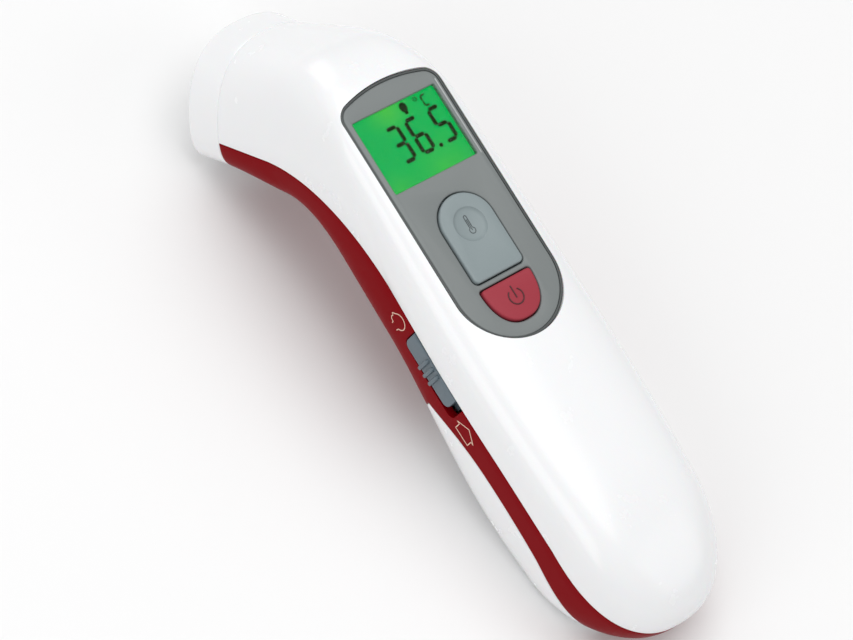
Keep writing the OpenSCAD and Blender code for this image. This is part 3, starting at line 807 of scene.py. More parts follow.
INK = 0.04
LENS_BOTTOM = -1.2
SEGMENTS = {"a": (0.5, 0, True), "b": (1, 0.25, False), "c": (1, 0.75, False), "d": (0.5, 1, True),
            "e": (0, 0.75, False), "f": (0, 0.25, False), "g": (0.5, 0.5, True)}


def segment(x, y, length, thick, level, top):
    """One pointed bar of a digit, lying across the handle or along it."""
    bm = bmesh.new()
    bmesh.ops.create_circle(bm, cap_ends=True, segments=6, radius=thick / math.sqrt(3))
    stretch = (length - 2 * thick / math.sqrt(3)) / 2
    for vertex in bm.verts:
        vertex.co.y += math.copysign(stretch, vertex.co.y)
    raised = bmesh.ops.extrude_face_region(bm, geom=bm.faces[:])["geom"]
    bmesh.ops.translate(bm, vec=(0, 0, -INK), verts=[g for g in raised if isinstance(g, bmesh.types.BMVert)])
    turn = Matrix.Rotation(0 if level else QUARTER, 4, "Z")
    bmesh.ops.transform(bm, matrix=Matrix.Translation((x, y, top)) @ turn, verts=bm.verts[:])
    bmesh.ops.recalc_face_normals(bm, faces=bm.faces[:])
    return bm


def digit_mesh(x, y, width, height, thick, lit, top):
    """One character made of lit bars; x and y are its upper left corner."""
    bars = []
    for name in lit:
        across, down, level = SEGMENTS[name]
        length = (width if level else height / 2) - 0.35 * thick
        bars.append(segment(x + down * height, y + across * width, length, thick, level, top))
    return joined(*bars)


def digits_mesh(p):
    """The reading, its decimal point, the degree sign, the unit and a small head sign."""
    top = LENS_BOTTOM - 0.01
    x0, y0 = -p.length + p.window_edge, -p.window_width / 2
    height, width = p.window_height * 0.45, p.window_width * 0.125
    row = x0 + p.window_height * 0.25
    parts = [digit_mesh(row, y0 + p.window_width * across, width, height, 0.95, lit, top)
             for across, lit in ((0.30, "abcdg"), (0.53, "acdefg"), (0.81, "acdfg"))]
    parts.append(drum(row + height, y0 + p.window_width * 0.735, top - INK, top, 0.5))
    parts.append(digit_mesh(x0 + 0.9, y0 + p.window_width * 0.82, 1.3, 2.5, 0.42, "adef", top))
    sign_y = y0 + p.window_width * 0.755
    parts.append(flat_plate([arc(x0 + 1.0, sign_y, r, 0, 345, 15) for r in (0.56, 0.34)], top, INK))
    head = drum(x0 + 1.5, y0 + p.window_width * 0.60, top - INK, top, 0.95)
    bmesh.ops.scale(head, vec=(1.25, 1, 1), space=Matrix.Translation((-x0 - 1.5, 0, 0)), verts=head.verts[:])
    neck = block((x0 + 2.2, y0 + p.window_width * 0.60 - 0.4, top - INK),
                 (x0 + 3.2, y0 + p.window_width * 0.60 + 0.5, top))
    return joined(*parts, combine(head, neck, "UNION"))


def mode_slider_mesh(shape, k):
    """The thumb plate with three ribs, its guide plate inside the wall and its fork."""
    face, wall = shape.handle_half(shape.JOIN_X), shape.s.wall
    top = -shape.s.seam_depth - k.drop
    bottom, inner = top - k.height, -face + wall + k.guide_gap
    plate = block((k.x, -face, bottom), (k.x + k.length, inner + 0.2, top))
    lower = [e for e in plate.edges if all(v.co.z < bottom + 0.1 for v in e.verts)
             and abs(e.verts[0].co.y - e.verts[1].co.y) > 1]
    bmesh.ops.bevel(plate, geom=lower, offset=1.7, segments=6, profile=0.5, affect="EDGES", material=-1)
    front = [e for e in plate.edges if all(v.co.y < -face + 0.01 for v in e.verts)]
    bmesh.ops.bevel(plate, geom=front, offset=0.35, segments=3, profile=0.5, affect="EDGES", material=-1)
    middle = k.x + k.length / 2
    for i in (-1, 0, 1):
        x = middle + i * k.rib_pitch
        rib = block((x - 0.5, -face - 0.8, bottom + 0.25), (x + 0.5, -face + 1, top - 0.3), 0.42, 4)
        plate = combine(plate, rib, "UNION")
    guide = block((k.x - 1.5, inner, bottom - 1.2), (k.x + k.length + 1.5, inner + 0.9, top - 0.6), 0.15)
    plate = combine(plate, guide, "UNION")
    mid_z = top - k.height / 2
    fork = block((middle - 2.5, inner + 0.5, mid_z - 1.4), (middle + 2.5, inner + 2.6, mid_z + 1.4), 0.12)
    fork = combine(fork, block((middle - 1, inner + 0.9, mid_z - 3), (middle + 1, inner + 4, mid_z + 3)))
    return combine(plate, fork, "UNION")


def slider_notch_mesh(shape, k):
    """The cutter for the slider's notch, with rounded lower corners."""
    top = -shape.s.seam_depth - k.drop
    notch = block((k.x - k.clear, -30, top - k.height - k.clear),
                  (k.x + k.length + k.travel + k.clear, -13, top + 2))
    lower = [e for e in notch.edges if all(v.co.z < top - k.height for v in e.verts)
             and abs(e.verts[0].co.y - e.verts[1].co.y) > 1]
    bmesh.ops.bevel(notch, geom=lower, offset=1.9, segments=6, profile=0.5, affect="EDGES", material=-1)
    return notch


def on_band(tree, x, z, sink=0.05):
    """The point of the band's outer face at a place along and above the handle."""
    hit = tree.ray_cast(Vector((x, -60, z)), Vector((0, 1, 0)))[0]
    return Vector((x, hit.y + sink, z))


def traced(tree, points, x, z, closed):
    """Points of a mark laid on the band, filled in so that it follows the surface."""
    ends = points + points[:1] if closed else points
    path = []
    for (u0, w0), (u1, w1) in zip(ends, ends[1:]):
        count = max(1, round(math.hypot(u1 - u0, w1 - w0) / 0.35))
        path += [on_band(tree, x + mix(u0, u1, i / count), z + mix(w0, w1, i / count))
                 for i in range(count)]
    return path if closed else path + [on_band(tree, x + ends[-1][0], z + ends[-1][1])]


def band_marks_mesh(tree):
    """Two line marks beside the slider: a plain head for body readings and a house for room readings."""
    house = [(-2.3, -1.9), (2.3, -1.9), (2.3, 0.2), (3.1, 0.2), (0.0, 2.3), (-3.1, 0.2), (-2.3, 0.2)]
    skull = arc(0.35, 0.5, 1.9, -58, 150, 18)
    profile = [(-1.75, 0.75), (-2.3, 0.05), (-1.75, -0.25), (-1.85, -0.9), (-1.5, -1.35), (-0.75, -1.45),
               (-0.65, -2.1)]
    neck = [(1.2, -2.1)]
    head = neck + skull + profile
    return joined(stroke([traced(tree, house, 22.9, -15.6, True)], 0.13, True),
                  stroke([traced(tree, head, -5.0, -15.6, False)], 0.13))


def new_group(name, inputs, outputs):
    """An empty node group with named number, colour and vector sockets."""
    group = bpy.data.node_groups.new(name, "ShaderNodeTree")
    kinds = {"value": "NodeSocketFloat", "colour": "NodeSocketColor", "vector": "NodeSocketVector"}
    for socket, kind, default in inputs:
        made = group.interface.new_socket(socket, in_out="INPUT", socket_type=kinds[kind])
        made.default_value = default
    for socket, kind in outputs:
        group.interface.new_socket(socket, in_out="OUTPUT", socket_type=kinds[kind])
    return group, group.nodes.new("NodeGroupInput"), group.nodes.new("NodeGroupOutput")


def noise(tree, scale, detail=2.0, roughness=0.5, vector=None):
    """A noise texture on object coordinates or on a given vector."""
    node = tree.nodes.new("ShaderNodeTexNoise")
    node.inputs["Scale"].default_value = scale
    node.inputs["Detail"].default_value = detail
    node.inputs["Roughness"].default_value = roughness
    if vector is None:
        vector = tree.nodes.new("ShaderNodeTexCoord").outputs["Object"]
    tree.links.new(vector, node.inputs["Vector"])
    return node


def math_node(tree, operation, first, second=None, clamp=False):
    """A maths node; each operand is a number or another node's output."""
    node = tree.nodes.new("ShaderNodeMath")
    node.operation = operation
    node.use_clamp = clamp
    for socket, value in zip(node.inputs, (first, second)):
        if value is None:
            continue
        if isinstance(value, (int, float)):
            socket.default_value = value
        else:
            tree.links.new(value, socket)
    return node.outputs[0]


def blended(tree, factor, first, second, mode="MIX"):
    """A mix of two colours by a factor."""
    node = tree.nodes.new("ShaderNodeMix")
    node.data_type = "RGBA"
    node.blend_type = mode
    sockets = [next(i for i in node.inputs if i.name == n and i.type == t)
               for n, t in (("Factor", "VALUE"), ("A", "RGBA"), ("B", "RGBA"))]
    for socket, value in zip(sockets, (factor, first, second)):
        if isinstance(value, bpy.types.NodeSocket):
            tree.links.new(value, socket)
        elif isinstance(value, (int, float)):
            socket.default_value = value
        else:
            socket.default_value = (*value[:3], 1)
    return next(o for o in node.outputs if o.type == "RGBA")


def moulded_group():
    """Moulded plastic: fine spark texture, faint handling marks and slow changes of tone."""
    found = bpy.data.node_groups.get("Moulded plastic")
    if found:
        return found
    group, inputs, outputs = new_group(
        "Moulded plastic",
        [("Colour", "colour", (1, 1, 1, 1)), ("Tone", "value", 0.03), ("Gloss", "value", 0.3),
         ("Handling", "value", 0.06), ("Texture", "value", 9000.0)],
        [("Colour", "colour"), ("Roughness", "value"), ("Height", "value")])
    slow = noise(group, 60, 3)
    dark = blended(group, 1.0, inputs.outputs["Colour"], (0.86, 0.87, 0.9), "MULTIPLY")
    strength = math_node(group, "MULTIPLY", slow.outputs["Fac"], inputs.outputs["Tone"])
    group.links.new(blended(group, strength, inputs.outputs["Colour"], dark), outputs.inputs["Colour"])
    smear = noise(group, 140, 4, 0.62)
    sharpened = math_node(group, "SUBTRACT", smear.outputs["Fac"], 0.42)
    marks = math_node(group, "MULTIPLY", math_node(group, "MULTIPLY", sharpened, 3.0, True),
                      inputs.outputs["Handling"])
    group.links.new(math_node(group, "ADD", inputs.outputs["Gloss"], marks), outputs.inputs["Roughness"])
    grain = noise(group, 1, 2)
    group.links.new(inputs.outputs["Texture"], grain.inputs["Scale"])
    group.links.new(grain.outputs["Fac"], outputs.inputs["Height"])
    return group


def metal_group():
    """Bright metal: fine scratches in roughness and a slow tarnish in tone."""
    found = bpy.data.node_groups.get("Worked metal")
    if found:
        return found
    group, inputs, outputs = new_group(
        "Worked metal",
        [("Colour", "colour", (0.7, 0.7, 0.7, 1)), ("Gloss", "value", 0.25), ("Wear", "value", 0.2)],
        [("Colour", "colour"), ("Roughness", "value"), ("Height", "value")])
    tarnish = noise(group, 220, 3)
    dull = blended(group, 1.0, inputs.outputs["Colour"], (0.7, 0.68, 0.64), "MULTIPLY")
    amount = math_node(group, "MULTIPLY", tarnish.outputs["Fac"], inputs.outputs["Wear"])
    group.links.new(blended(group, amount, inputs.outputs["Colour"], dull), outputs.inputs["Colour"])
    scratch = noise(group, 2400, 2, 0.7)
    rough = math_node(group, "ADD", inputs.outputs["Gloss"],
                      math_node(group, "MULTIPLY", scratch.outputs["Fac"], inputs.outputs["Wear"]))
    group.links.new(rough, outputs.inputs["Roughness"])
    group.links.new(scratch.outputs["Fac"], outputs.inputs["Height"])
    return group


def place_group(tree, group, values):
    """Puts a shared group into a material with its own values."""
    node = tree.nodes.new("ShaderNodeGroup")
    node.node_tree = group
    for name, value in values.items():
        if isinstance(value, bpy.types.NodeSocket):
            tree.links.new(value, node.inputs[name])
        else:
            node.inputs[name].default_value = value
    return node


def blank(name):
    """A new material with its shader, or the one already made."""
    material = bpy.data.materials.get(name)
    if material is not None and material.get("finished"):
        return material, None, None
    material = bpy.data.materials.new(name)
    material["finished"] = True
    material.use_nodes = True
    tree = material.node_tree
    return material, tree, tree.nodes["Principled BSDF"]


def bump(tree, shader, height, strength, distance=0.00002):
    """Feeds a height into the shader's normal."""
    node = tree.nodes.new("ShaderNodeBump")
    node.inputs["Strength"].default_value = strength
    node.inputs["Distance"].default_value = distance
    tree.links.new(height, node.inputs["Height"])
    tree.links.new(node.outputs["Normal"], shader.inputs["Normal"])


def plastic(name, base, gloss=0.3, tone=0.4, handling=0.06, grain=0.1, coat=0.0, texture=9000.0,
            scatter=0.0, shine=0.5):
    """A moulded plastic finish."""
    material, tree, shader = blank(name)
    if tree is None:
        return material
    colour_in = base if isinstance(base, bpy.types.NodeSocket) else (*base[:3], 1)
    node = place_group(tree, moulded_group(), {"Colour": colour_in, "Tone": tone, "Gloss": gloss,
                                               "Handling": handling, "Texture": texture})
    tree.links.new(node.outputs["Colour"], shader.inputs["Base Color"])
    tree.links.new(node.outputs["Roughness"], shader.inputs["Roughness"])
    shader.inputs["Specular IOR Level"].default_value = shine
    shader.inputs["Coat Weight"].default_value = coat
    shader.inputs["Coat Roughness"].default_value = 0.12
    if scatter:
        shader.inputs["Subsurface Weight"].default_value = scatter
        shader.inputs["Subsurface Scale"].default_value = 0.0015
    bump(tree, shader, node.outputs["Height"], grain)
    return material


def metal(name, base, gloss=0.22, wear=0.2):
    """A worked metal finish."""
    material, tree, shader = blank(name)
    if tree is None:
        return material
    node = place_group(tree, metal_group(), {"Colour": (*base, 1), "Gloss": gloss, "Wear": wear})
    tree.links.new(node.outputs["Colour"], shader.inputs["Base Color"])
    tree.links.new(node.outputs["Roughness"], shader.inputs["Roughness"])
    shader.inputs["Metallic"].default_value = 1
    bump(tree, shader, node.outputs["Height"], 0.08)
    return material


def local_axes(tree, centre_mm):
    """Object coordinates turned to the handle and centred on a place, in metres."""
    mapping = tree.nodes.new("ShaderNodeMapping")
    mapping.vector_type = "TEXTURE"
    mapping.inputs["Location"].default_value = TO_REST @ Vector(centre_mm)
    mapping.inputs["Rotation"].default_value = (0, TILT, 0)
    tree.links.new(tree.nodes.new("ShaderNodeTexCoord").outputs["Object"], mapping.inputs["Vector"])
    split = tree.nodes.new("ShaderNodeSeparateXYZ")
    tree.links.new(mapping.outputs["Vector"], split.inputs["Vector"])
    return mapping.outputs["Vector"], split.outputs


def spot(tree, centre_mm, radius_mm):
    """A soft mask: 1 at a place on the part, falling to 0 at a distance."""
    vector, _ = local_axes(tree, centre_mm)
    length = tree.nodes.new("ShaderNodeVectorMath")
    length.operation = "LENGTH"
    tree.links.new(vector, length.inputs[0])
    near = math_node(tree, "DIVIDE", length.outputs["Value"], radius_mm / MM)
    return math_node(tree, "POWER", math_node(tree, "SUBTRACT", 1.0, near, True), 1.6)


def display_material(finishes, p):
    """The lit display: green glow with warmer patches near its lamps, a faint cloudy tone and a fine bumpy
    grain.
    """
    material, tree, shader = blank("display_glow")
    if tree is None:
        return material
    x0, half = -p.length + p.window_edge, p.window_width / 2
    lamp = spot(tree, (x0 + 0.2, -0.16 * half, -p.thickness), 7.5)
    corner = spot(tree, (x0 + p.window_height * 1.02, half * 0.35, -p.thickness), 12)
    low = spot(tree, (x0 + p.window_height * 1.02, -half * 0.8, -p.thickness), 7)
    warm = math_node(tree, "ADD", math_node(tree, "MULTIPLY", lamp, 1.0),
                     math_node(tree, "MULTIPLY", math_node(tree, "ADD", corner, low, True), 0.55), True)
    tone = blended(tree, warm, finishes.glow, finishes.glow_warm)
    cloud = noise(tree, 320, 2)
    tone = blended(tree, math_node(tree, "MULTIPLY", cloud.outputs["Fac"], 0.3), tone, (0, 0.3, 0.09))
    tree.links.new(tone, shader.inputs["Emission Color"])
    shader.inputs["Base Color"].default_value = (0.0, 0.06, 0.01, 1)
    shader.inputs["Specular IOR Level"].default_value = 0.1
    shader.inputs["Emission Strength"].default_value = 0.9
    shader.inputs["Roughness"].default_value = 0.25
    fine = noise(tree, 6000, 1)
    bump(tree, shader, fine.outputs["Fac"], 0.05)
    return material


# Well below clear plastic's own index, so that the lamps' reflections do not cover the digits
LENS_INDEX = 1.08


def clear_material():
    """A clear, nearly reflection-free window with faint smears."""
    material, tree, shader = blank("clear_lens")
    if tree is None:
        return material
    shader.inputs["Base Color"].default_value = (0.97, 1.0, 0.985, 1)
    shader.inputs["Transmission Weight"].default_value = 1
    shader.inputs["IOR"].default_value = LENS_INDEX
    smear = noise(tree, 260, 4, 0.6)
    tree.links.new(math_node(tree, "MULTIPLY", smear.outputs["Fac"], 0.05), shader.inputs["Roughness"])
    return material


def board_material(name):
    """Green solder mask over copper traces, with drilled pads."""
    material, tree, shader = blank(name)
    if tree is None:
        return material
    vector, axes = local_axes(tree, (0, 0, 0))
    bend = noise(tree, 150, 1, 0.4, vector)
    shifted = math_node(tree, "ADD", math_node(tree, "MULTIPLY", axes["Y"], 900.0),
                        math_node(tree, "MULTIPLY", bend.outputs["Fac"], 9.0))
    line = math_node(tree, "GREATER_THAN", math_node(tree, "SINE", shifted), 0.55)
    holes = tree.nodes.new("ShaderNodeTexVoronoi")
    holes.inputs["Scale"].default_value = 330
    tree.links.new(vector, holes.inputs["Vector"])
    pad = math_node(tree, "LESS_THAN", holes.outputs["Distance"], 0.17)
    mask = blended(tree, line, (0.005, 0.09, 0.03), (0.012, 0.17, 0.06))
    tone = blended(tree, pad, mask, (0.62, 0.45, 0.2))
    tree.links.new(tone, shader.inputs["Base Color"])
    tree.links.new(math_node(tree, "MULTIPLY", pad, 0.8), shader.inputs["Metallic"])
    shader.inputs["Roughness"].default_value = 0.32
    bump(tree, shader, math_node(tree, "ADD", line, pad), 0.3, 0.00003)
    return material


def striped_material(name, first, second, period_mm, axis, share, **finish):
    """Plastic with even stripes across one of the handle's axes."""
    material, tree, _ = blank(name)
    if tree is None:
        return material
    _, axes = local_axes(tree, (0, 0, 0))
    turn = math_node(tree, "FRACT", math_node(tree, "MULTIPLY", axes[axis], MM / period_mm))
    stripe = math_node(tree, "LESS_THAN", turn, share)
    tone = blended(tree, stripe, first, second)
    shader = tree.nodes["Principled BSDF"]
    node = place_group(tree, moulded_group(), {
        "Colour": tone, "Tone": 0.3, "Gloss": finish.get("gloss", 0.35), "Handling": 0.1,
        "Texture": 5000.0})
    tree.links.new(node.outputs["Colour"], shader.inputs["Base Color"])
    tree.links.new(node.outputs["Roughness"], shader.inputs["Roughness"])
    shader.inputs["Metallic"].default_value = finish.get("metallic", 0.0)
    bump(tree, shader, stripe, 0.2, 0.00003)
    return material


def settings(context):
    """The scene's cover, panel, slider and finish values."""
    scene = context.scene
    return (CoverShape(scene.thermometer_cover), in_mm(scene.thermometer_panel),
            in_mm(scene.thermometer_slider), scene.thermometer_finish)


def white_plastic(finishes):
    """The covers' white plastic."""
    return plastic("cover_white_gloss", finishes.cover, gloss=0.26, tone=0.04, handling=0.02, grain=0.03,
                   coat=0.25, scatter=0.08)


class THERMOMETER_OT_covers(bpy.types.Operator):
    """Builds the front cover, the rear housing, the battery door and the nozzle collar"""
    bl_idname = "thermometer.covers"
    bl_label = "Covers"

    def execute(self, context):
        shape, p, k, finishes = settings(context)
        white = white_plastic(finishes)
        red = plastic("housing_red_gloss", finishes.band, gloss=0.3, tone=0.15, handling=0.04, grain=0.05,
                      shine=0.03)
        opening = flat_plate([panel_outline(p, 0.1)], 4, 16)
        front = combine(front_cover_mesh(shape), opening)
        new_piece("front_cover_shell", front, white, "case", ("front_cover",))
        rear = combine(rear_housing_mesh(shape), slider_notch_mesh(shape, k))
        tree = BVHTree.FromBMesh(rear)
        marks = band_marks_mesh(tree)
        new_piece("rear_housing_shell", rear, red, "case", ("rear_housing",))
        cream = plastic("mark_cream", finishes.mark, gloss=0.45, grain=0.05)
        new_piece("band_marks", marks, cream, "case")
        new_piece("battery_door_shell", battery_door_mesh(shape), white, "battery_door",
                  ("battery_door",))
        new_piece("nozzle_collar_ring", nozzle_collar_mesh(shape), white, "case",
                  ("nozzle_collar",))
        return {"FINISHED"}


class THERMOMETER_OT_panel(bpy.types.Operator):
    """Builds the display panel with its rim, and the lit display with its reading"""
    bl_idname = "thermometer.panel"
    bl_label = "Panel and display"

    def execute(self, context):
        _, p, _, finishes = settings(context)
        grey = plastic("panel_grey_satin", finishes.panel, gloss=0.34, tone=0.2, handling=0.08, grain=0.08,
                       shine=0.35)
        dark = plastic("panel_rim_dark", finishes.rim, gloss=0.3, grain=0.05)
        hole = p.key_clear + 0.12
        face = flat_plate([panel_outline(p, -p.rim), window_outline(p), scan_outline(p, hole),
                           power_outline(p, hole)], -0.02, p.thickness - 0.02, 0.36)
        posts = [drum(-8, side * (p.key_width / 2 + 3.3), -8.15, -1.5, 2.0, 0.1) for side in (-1, 1)]
        for post in posts:
            bored = combine(post, drum(-8, sum(v.co.y for v in post.verts) / len(post.verts), -9, -3.2, 0.85))
            face = combine(face, bored, "UNION")
        new_piece("panel_face", face, grey, "case", ("display_panel",))
        rim = flat_plate([panel_outline(p), panel_outline(p, -p.rim)], 0.06, p.thickness + 0.06, 0.12)
        new_piece("panel_rim", rim, dark, "case", ("display_panel",))
        # A pale raised strip beside the window: painted highlight standing for the light caught by the lens's
        # edge.
        pale = plastic("lens_edge_painted_highlight", (0.62, 0.64, 0.63), gloss=0.15, grain=0.02, coat=0.5)
        start = -p.length + p.window_edge - 0.9
        line_y = p.window_width / 2 + 0.75
        edge = block((start, line_y, -0.3), (start + p.window_height + 1.2, line_y + 0.16, 0.03), 0.05, 2)
        new_piece("lens_edge", edge, pale, "case")
        ink = plastic("digit_ink", finishes.digit, gloss=0.6, grain=0.02, shine=0.05)
        new_piece("display_reading", digits_mesh(p), ink, "case")
        film = flat_plate([window_outline(p, -0.03)], LENS_BOTTOM - 0.01 - INK, 0.1)
        new_piece("display_film", film, display_material(finishes, p), "case")
        return {"FINISHED"}


class THERMOMETER_OT_keys(bpy.types.Operator):
    """Builds the scan key with its dish, the power key and their marks"""
    bl_idname = "thermometer.keys"
    bl_label = "Keys"

    def execute(self, context):
        _, p, _, finishes = settings(context)
        grey = plastic("scan_key_satin", finishes.scan_key, gloss=0.36, tone=0.25, handling=0.1, grain=0.1,
                       shine=0.35)
        red = plastic("power_key_satin", finishes.power_key, gloss=0.4, tone=0.2, handling=0.1, grain=0.12,
                      shine=0.2)
        new_piece("scan_key_cap", scan_key_mesh(p), grey, "scan_key", ("scan_key",))
        new_piece("power_key_cap", power_key_mesh(p), red, "power_key", ("power_key",))
        # The engraved marks are thin strokes lying on the keys' surface, coloured darker than their key:
        # painted shade of the engraved grooves.
        scan_mark_shade_paint = plastic("scan_mark_painted_shade", [c * 0.35 for c in finishes.scan_key], gloss=0.5, grain=0.03)
        power_mark_shade_paint = plastic("power_mark_painted_shade", [c * 0.22 for c in finishes.power_key], gloss=0.5, grain=0.03)
        new_piece("scan_mark", scan_mark_mesh(p), scan_mark_shade_paint, "scan_key")
        new_piece("power_mark", power_mark_mesh(p), power_mark_shade_paint, "power_key")
        return {"FINISHED"}


class THERMOMETER_OT_slider(bpy.types.Operator):
    """Builds the mode slider with its thumb ribs"""
    bl_idname = "thermometer.slider"
    bl_label = "Mode slider"

    def execute(self, context):
        shape, _, k, finishes = settings(context)
        grey = plastic("slider_grey_satin", finishes.slider, gloss=0.34, tone=0.3, handling=0.1, grain=0.1)
        new_piece("mode_slider_plate", mode_slider_mesh(shape, k), grey, "mode_slider",
                  ("mode_slider",))
        return {"FINISHED"}


def nozzle_matrix(shape):
    """Places a part turned round local Z on the nozzle's axis, with +Z pointing out."""
    turn = Matrix.Rotation(-math.pi / 2 - shape.s.head_angle, 4, "Y")
    return Matrix.Translation((shape.nozzle.x, 0, shape.nozzle.y)) @ turn


class THERMOMETER_OT_sensor(bpy.types.Operator):
    """Builds the sensor barrel with its polished cone"""
    bl_idname = "thermometer.sensor"
    bl_label = "Sensor barrel"

    def execute(self, context):
        shape = settings(context)[0]
        mouth, outer, can = shape.s.mouth_width / 2, shape.s.barrel_width / 2 - 0.05, 4.6
        profile = [(mouth + 0.3, -0.6), (outer - 0.25, -0.6), (outer, -0.85), (outer, -11.5),
                   (outer - 2, -12.5), (outer - 3, -21), (can + 0.1, -21), (can + 0.1, -15),
                   (can - 1.2, -15), (can - 1.2, -13.8),
                   (mix(can - 1.2, mouth, 0.5) + 0.15, -7.2), (mouth - 0.12, -1.0), (mouth + 0.05, -0.72)]
        bright = metal("barrel_chrome_polish", (0.82, 0.83, 0.84), gloss=0.08, wear=0.1)
        new_piece("sensor_barrel_cone", spun(profile, 128, nozzle_matrix(shape)), bright, "case",
                  ("sensor_barrel",), sharp=25)
        return {"FINISHED"}


class THERMOMETER_OT_inner_finishes(bpy.types.Operator):
    """Gives every inner part that keeps its frame shape its own finish"""
    bl_idname = "thermometer.inner_finishes"
    bl_label = "Inner finishes"

    def execute(self, context):
        steel = metal("steel_plated", (0.66, 0.66, 0.65), gloss=0.22, wear=0.3)
        rubber = plastic("rubber_dark", (0.03, 0.031, 0.033), gloss=0.6, tone=0.5, handling=0.2, grain=0.3)
        ivory = plastic("holder_ivory", (0.72, 0.68, 0.56), gloss=0.42, tone=0.6, grain=0.15)
        switch = metal("switch_frame", (0.6, 0.6, 0.58), gloss=0.3, wear=0.3)
        kept = {
            "window_lens": clear_material(),
            "lcd_glass": plastic("lcd_stack", (0.3, 0.5, 0.35), gloss=0.1, tone=0.3, grain=0.02, coat=0.5),
            "backlight": plastic("light_guide", (0.8, 0.86, 0.8), gloss=0.2, grain=0.2, scatter=0.1),
            "lcd_holder": ivory,
            "contact_strips": striped_material("contact_rubber", (0.03, 0.03, 0.03), (0.3, 0.29, 0.26),
                                               0.5, "Y", 0.5, gloss=0.6),
            "circuit_board": board_material("board_green"),
            "controller_chip": plastic("chip_epoxy", (0.012, 0.012, 0.013), gloss=0.5, tone=0.5, grain=0.3),
            "board_parts": plastic("component_tan", (0.35, 0.24, 0.12), gloss=0.4, tone=0.9, grain=0.3),
            "buzzer": plastic("buzzer_black", (0.02, 0.02, 0.022), gloss=0.42, tone=0.4, grain=0.2),
            "scan_switch": switch,
            "power_switch": switch,
            "slide_switch": steel,
            "scan_plunger": rubber,
            "power_plunger": rubber,
            "slide_actuator": rubber,
            "sensor_holder": ivory,
            "sensor_can": metal("can_nickel", (0.72, 0.7, 0.66), gloss=0.16, wear=0.15),
            "sensor_filter": plastic("filter_dark", (0.02, 0.018, 0.03), gloss=0.08, tone=0.3, coat=0.8),
            "sensor_board": board_material("sensor_board_green"),
            "sensor_ribbon": striped_material("ribbon_amber", (0.4, 0.16, 0.02), (0.62, 0.33, 0.08),
                                              1.0, "Y", 0.6, gloss=0.3),
            "battery_tray": plastic("tray_white", (0.7, 0.7, 0.69), gloss=0.45, tone=0.4, grain=0.25),
            "spring_contacts": steel,
            "link_contact": steel,
            "case_screws": metal("screw_steel", (0.5, 0.5, 0.49), gloss=0.25, wear=0.35),
            "board_screws": metal("screw_brass", (0.66, 0.52, 0.28), gloss=0.25, wear=0.3),
        }
        for side in ("left", "right"):
            kept[f"cell_{side}"] = striped_material(
                f"cell_wrap_{side}", (0.015, 0.03, 0.09), (0.55, 0.42, 0.2), 64, "X", 0.72, gloss=0.2,
                metallic=0.5)
        for node, material in kept.items():
            frame["nodes"][node].data.materials.clear()
            frame["nodes"][node].data.materials.append(material)
        return {"FINISHED"}


# The stage: each lamp's place, width in metres and power in watts, and the camera
LAMPS = {"overhead": ((-0.1, 0.1, 1.2), 1.1, 7.6),
         "switch_side": ((0.2, -1.0, 0.55), 0.8, 3.4),
         "nozzle_side": ((-1.0, 0.1, 0.6), 0.7, 2.1),
         "butt_side": ((0.9, 0.6, 0.7), 0.8, 1.9)}
LAMP_AIM = (0.0, 0.0, 0.02)
SURROUND = 0.47
FLOOR_SHADE = (0.88, 0.88, 0.88)
FOCAL_LENGTH = 177.8
CAMERA_DISTANCE = 0.9
CAMERA_AIM = (-2.3, -12.7, -15.0)
CAMERA_BACK = (0.1129, -0.5033, 0.8564)
CAMERA_RIGHT = (0.5279, 0.7606, 0.3774)


def area_light(name, place, aim, width, power):
    """A soft square lamp that faces a point."""
    lamp = bpy.data.lights.new(name, "AREA")
    lamp.shape = "SQUARE"
    lamp.size = width
    lamp.energy = power
    holder = bpy.data.objects.new(name, lamp)
    holder.location = place
    holder.rotation_euler = (Vector(aim) - Vector(place)).to_track_quat("-Z", "Y").to_euler()
    bpy.context.scene.collection.objects.link(holder)


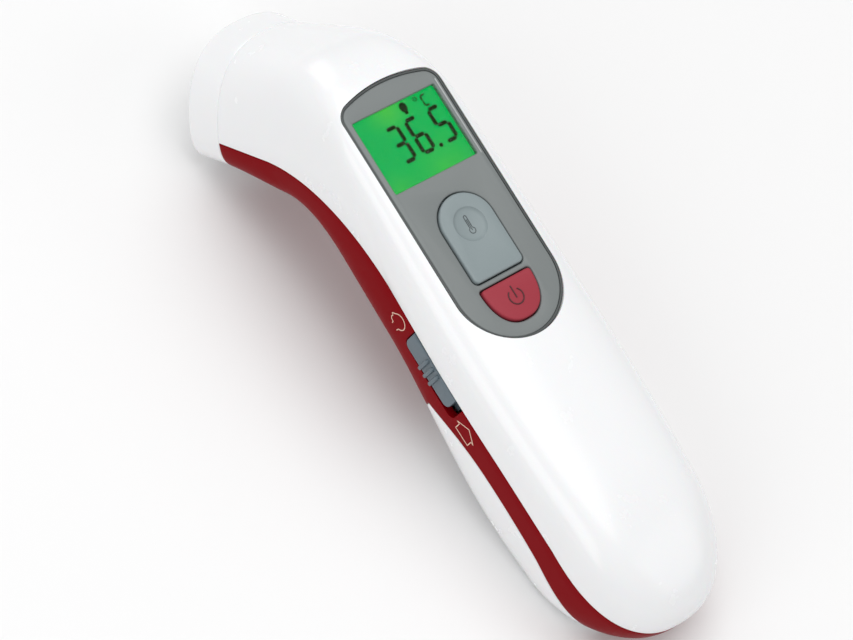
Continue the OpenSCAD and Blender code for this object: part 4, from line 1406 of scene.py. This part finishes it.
class THERMOMETER_OT_stage(bpy.types.Operator):
    """Builds the pale floor, the soft lights and the camera"""
    bl_idname = "thermometer.stage"
    bl_label = "Stage"

    def execute(self, context):
        bm = bmesh.new()
        bmesh.ops.create_grid(bm, x_segments=4, y_segments=4, size=3)
        mesh = bpy.data.meshes.new("floor")
        bm.to_mesh(mesh)
        bm.free()
        floor = bpy.data.objects.new("floor", mesh)
        context.scene.collection.objects.link(floor)
        mesh.materials.append(plastic("floor_pale", FLOOR_SHADE, gloss=0.7, tone=0.03, handling=0.0,
                                      grain=0.0))
        for name, (place, width, power) in LAMPS.items():
            area_light(name, place, LAMP_AIM, width, power)
        world = bpy.data.worlds.new("studio")
        world.use_nodes = True
        world.node_tree.nodes["Background"].inputs["Color"].default_value = (1, 1, 1, 1)
        world.node_tree.nodes["Background"].inputs["Strength"].default_value = SURROUND
        context.scene.world = world
        context.scene.view_settings.view_transform = "Standard"
        lens = bpy.data.cameras.new("camera")
        lens.lens = FOCAL_LENGTH
        lens.clip_start = 0.05
        camera = bpy.data.objects.new("camera", lens)
        level = TO_REST.to_3x3().normalized()
        back = (level @ Vector(CAMERA_BACK)).normalized()
        right = level @ Vector(CAMERA_RIGHT)
        right = (right - back * right.dot(back)).normalized()
        turned = Matrix((right, back.cross(right), back)).transposed()
        aim = TO_REST @ Vector(CAMERA_AIM)
        camera.matrix_world = Matrix.Translation(aim + back * CAMERA_DISTANCE) @ turned.to_4x4()
        context.scene.collection.objects.link(camera)
        context.scene.camera = camera
        return {"FINISHED"}


class THERMOMETER_PT_build(bpy.types.Panel):
    """Lists the builders in the 3D view's sidebar"""
    bl_idname = "THERMOMETER_PT_build"
    bl_label = "Thermometer"
    bl_space_type = "VIEW_3D"
    bl_region_type = "UI"
    bl_category = "Thermometer"

    def draw(self, context):
        for operator in OPERATORS:
            self.layout.operator(operator.bl_idname)


OPERATORS = (THERMOMETER_OT_covers, THERMOMETER_OT_panel, THERMOMETER_OT_keys, THERMOMETER_OT_slider,
             THERMOMETER_OT_sensor, THERMOMETER_OT_inner_finishes, THERMOMETER_OT_stage)
GROUPS = {"thermometer_cover": CoverSizes, "thermometer_panel": PanelSizes,
          "thermometer_slider": SliderSizes, "thermometer_finish": Finishes}


def register():
    for group in GROUPS.values():
        bpy.utils.register_class(group)
    for name, group in GROUPS.items():
        setattr(bpy.types.Scene, name, PointerProperty(type=group))
    for operator in OPERATORS:
        bpy.utils.register_class(operator)
    bpy.utils.register_class(THERMOMETER_PT_build)


def unregister():
    bpy.utils.unregister_class(THERMOMETER_PT_build)
    for operator in reversed(OPERATORS):
        bpy.utils.unregister_class(operator)
    for name, group in GROUPS.items():
        delattr(bpy.types.Scene, name)
        bpy.utils.unregister_class(group)


def main():
    """Registers the add-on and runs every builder."""
    register()
    for operator in OPERATORS:
        group, name = operator.bl_idname.split(".")
        getattr(getattr(bpy.ops, group), name)()
    bpy.context.view_layer.update()


if __name__ == "__main__":
    main()
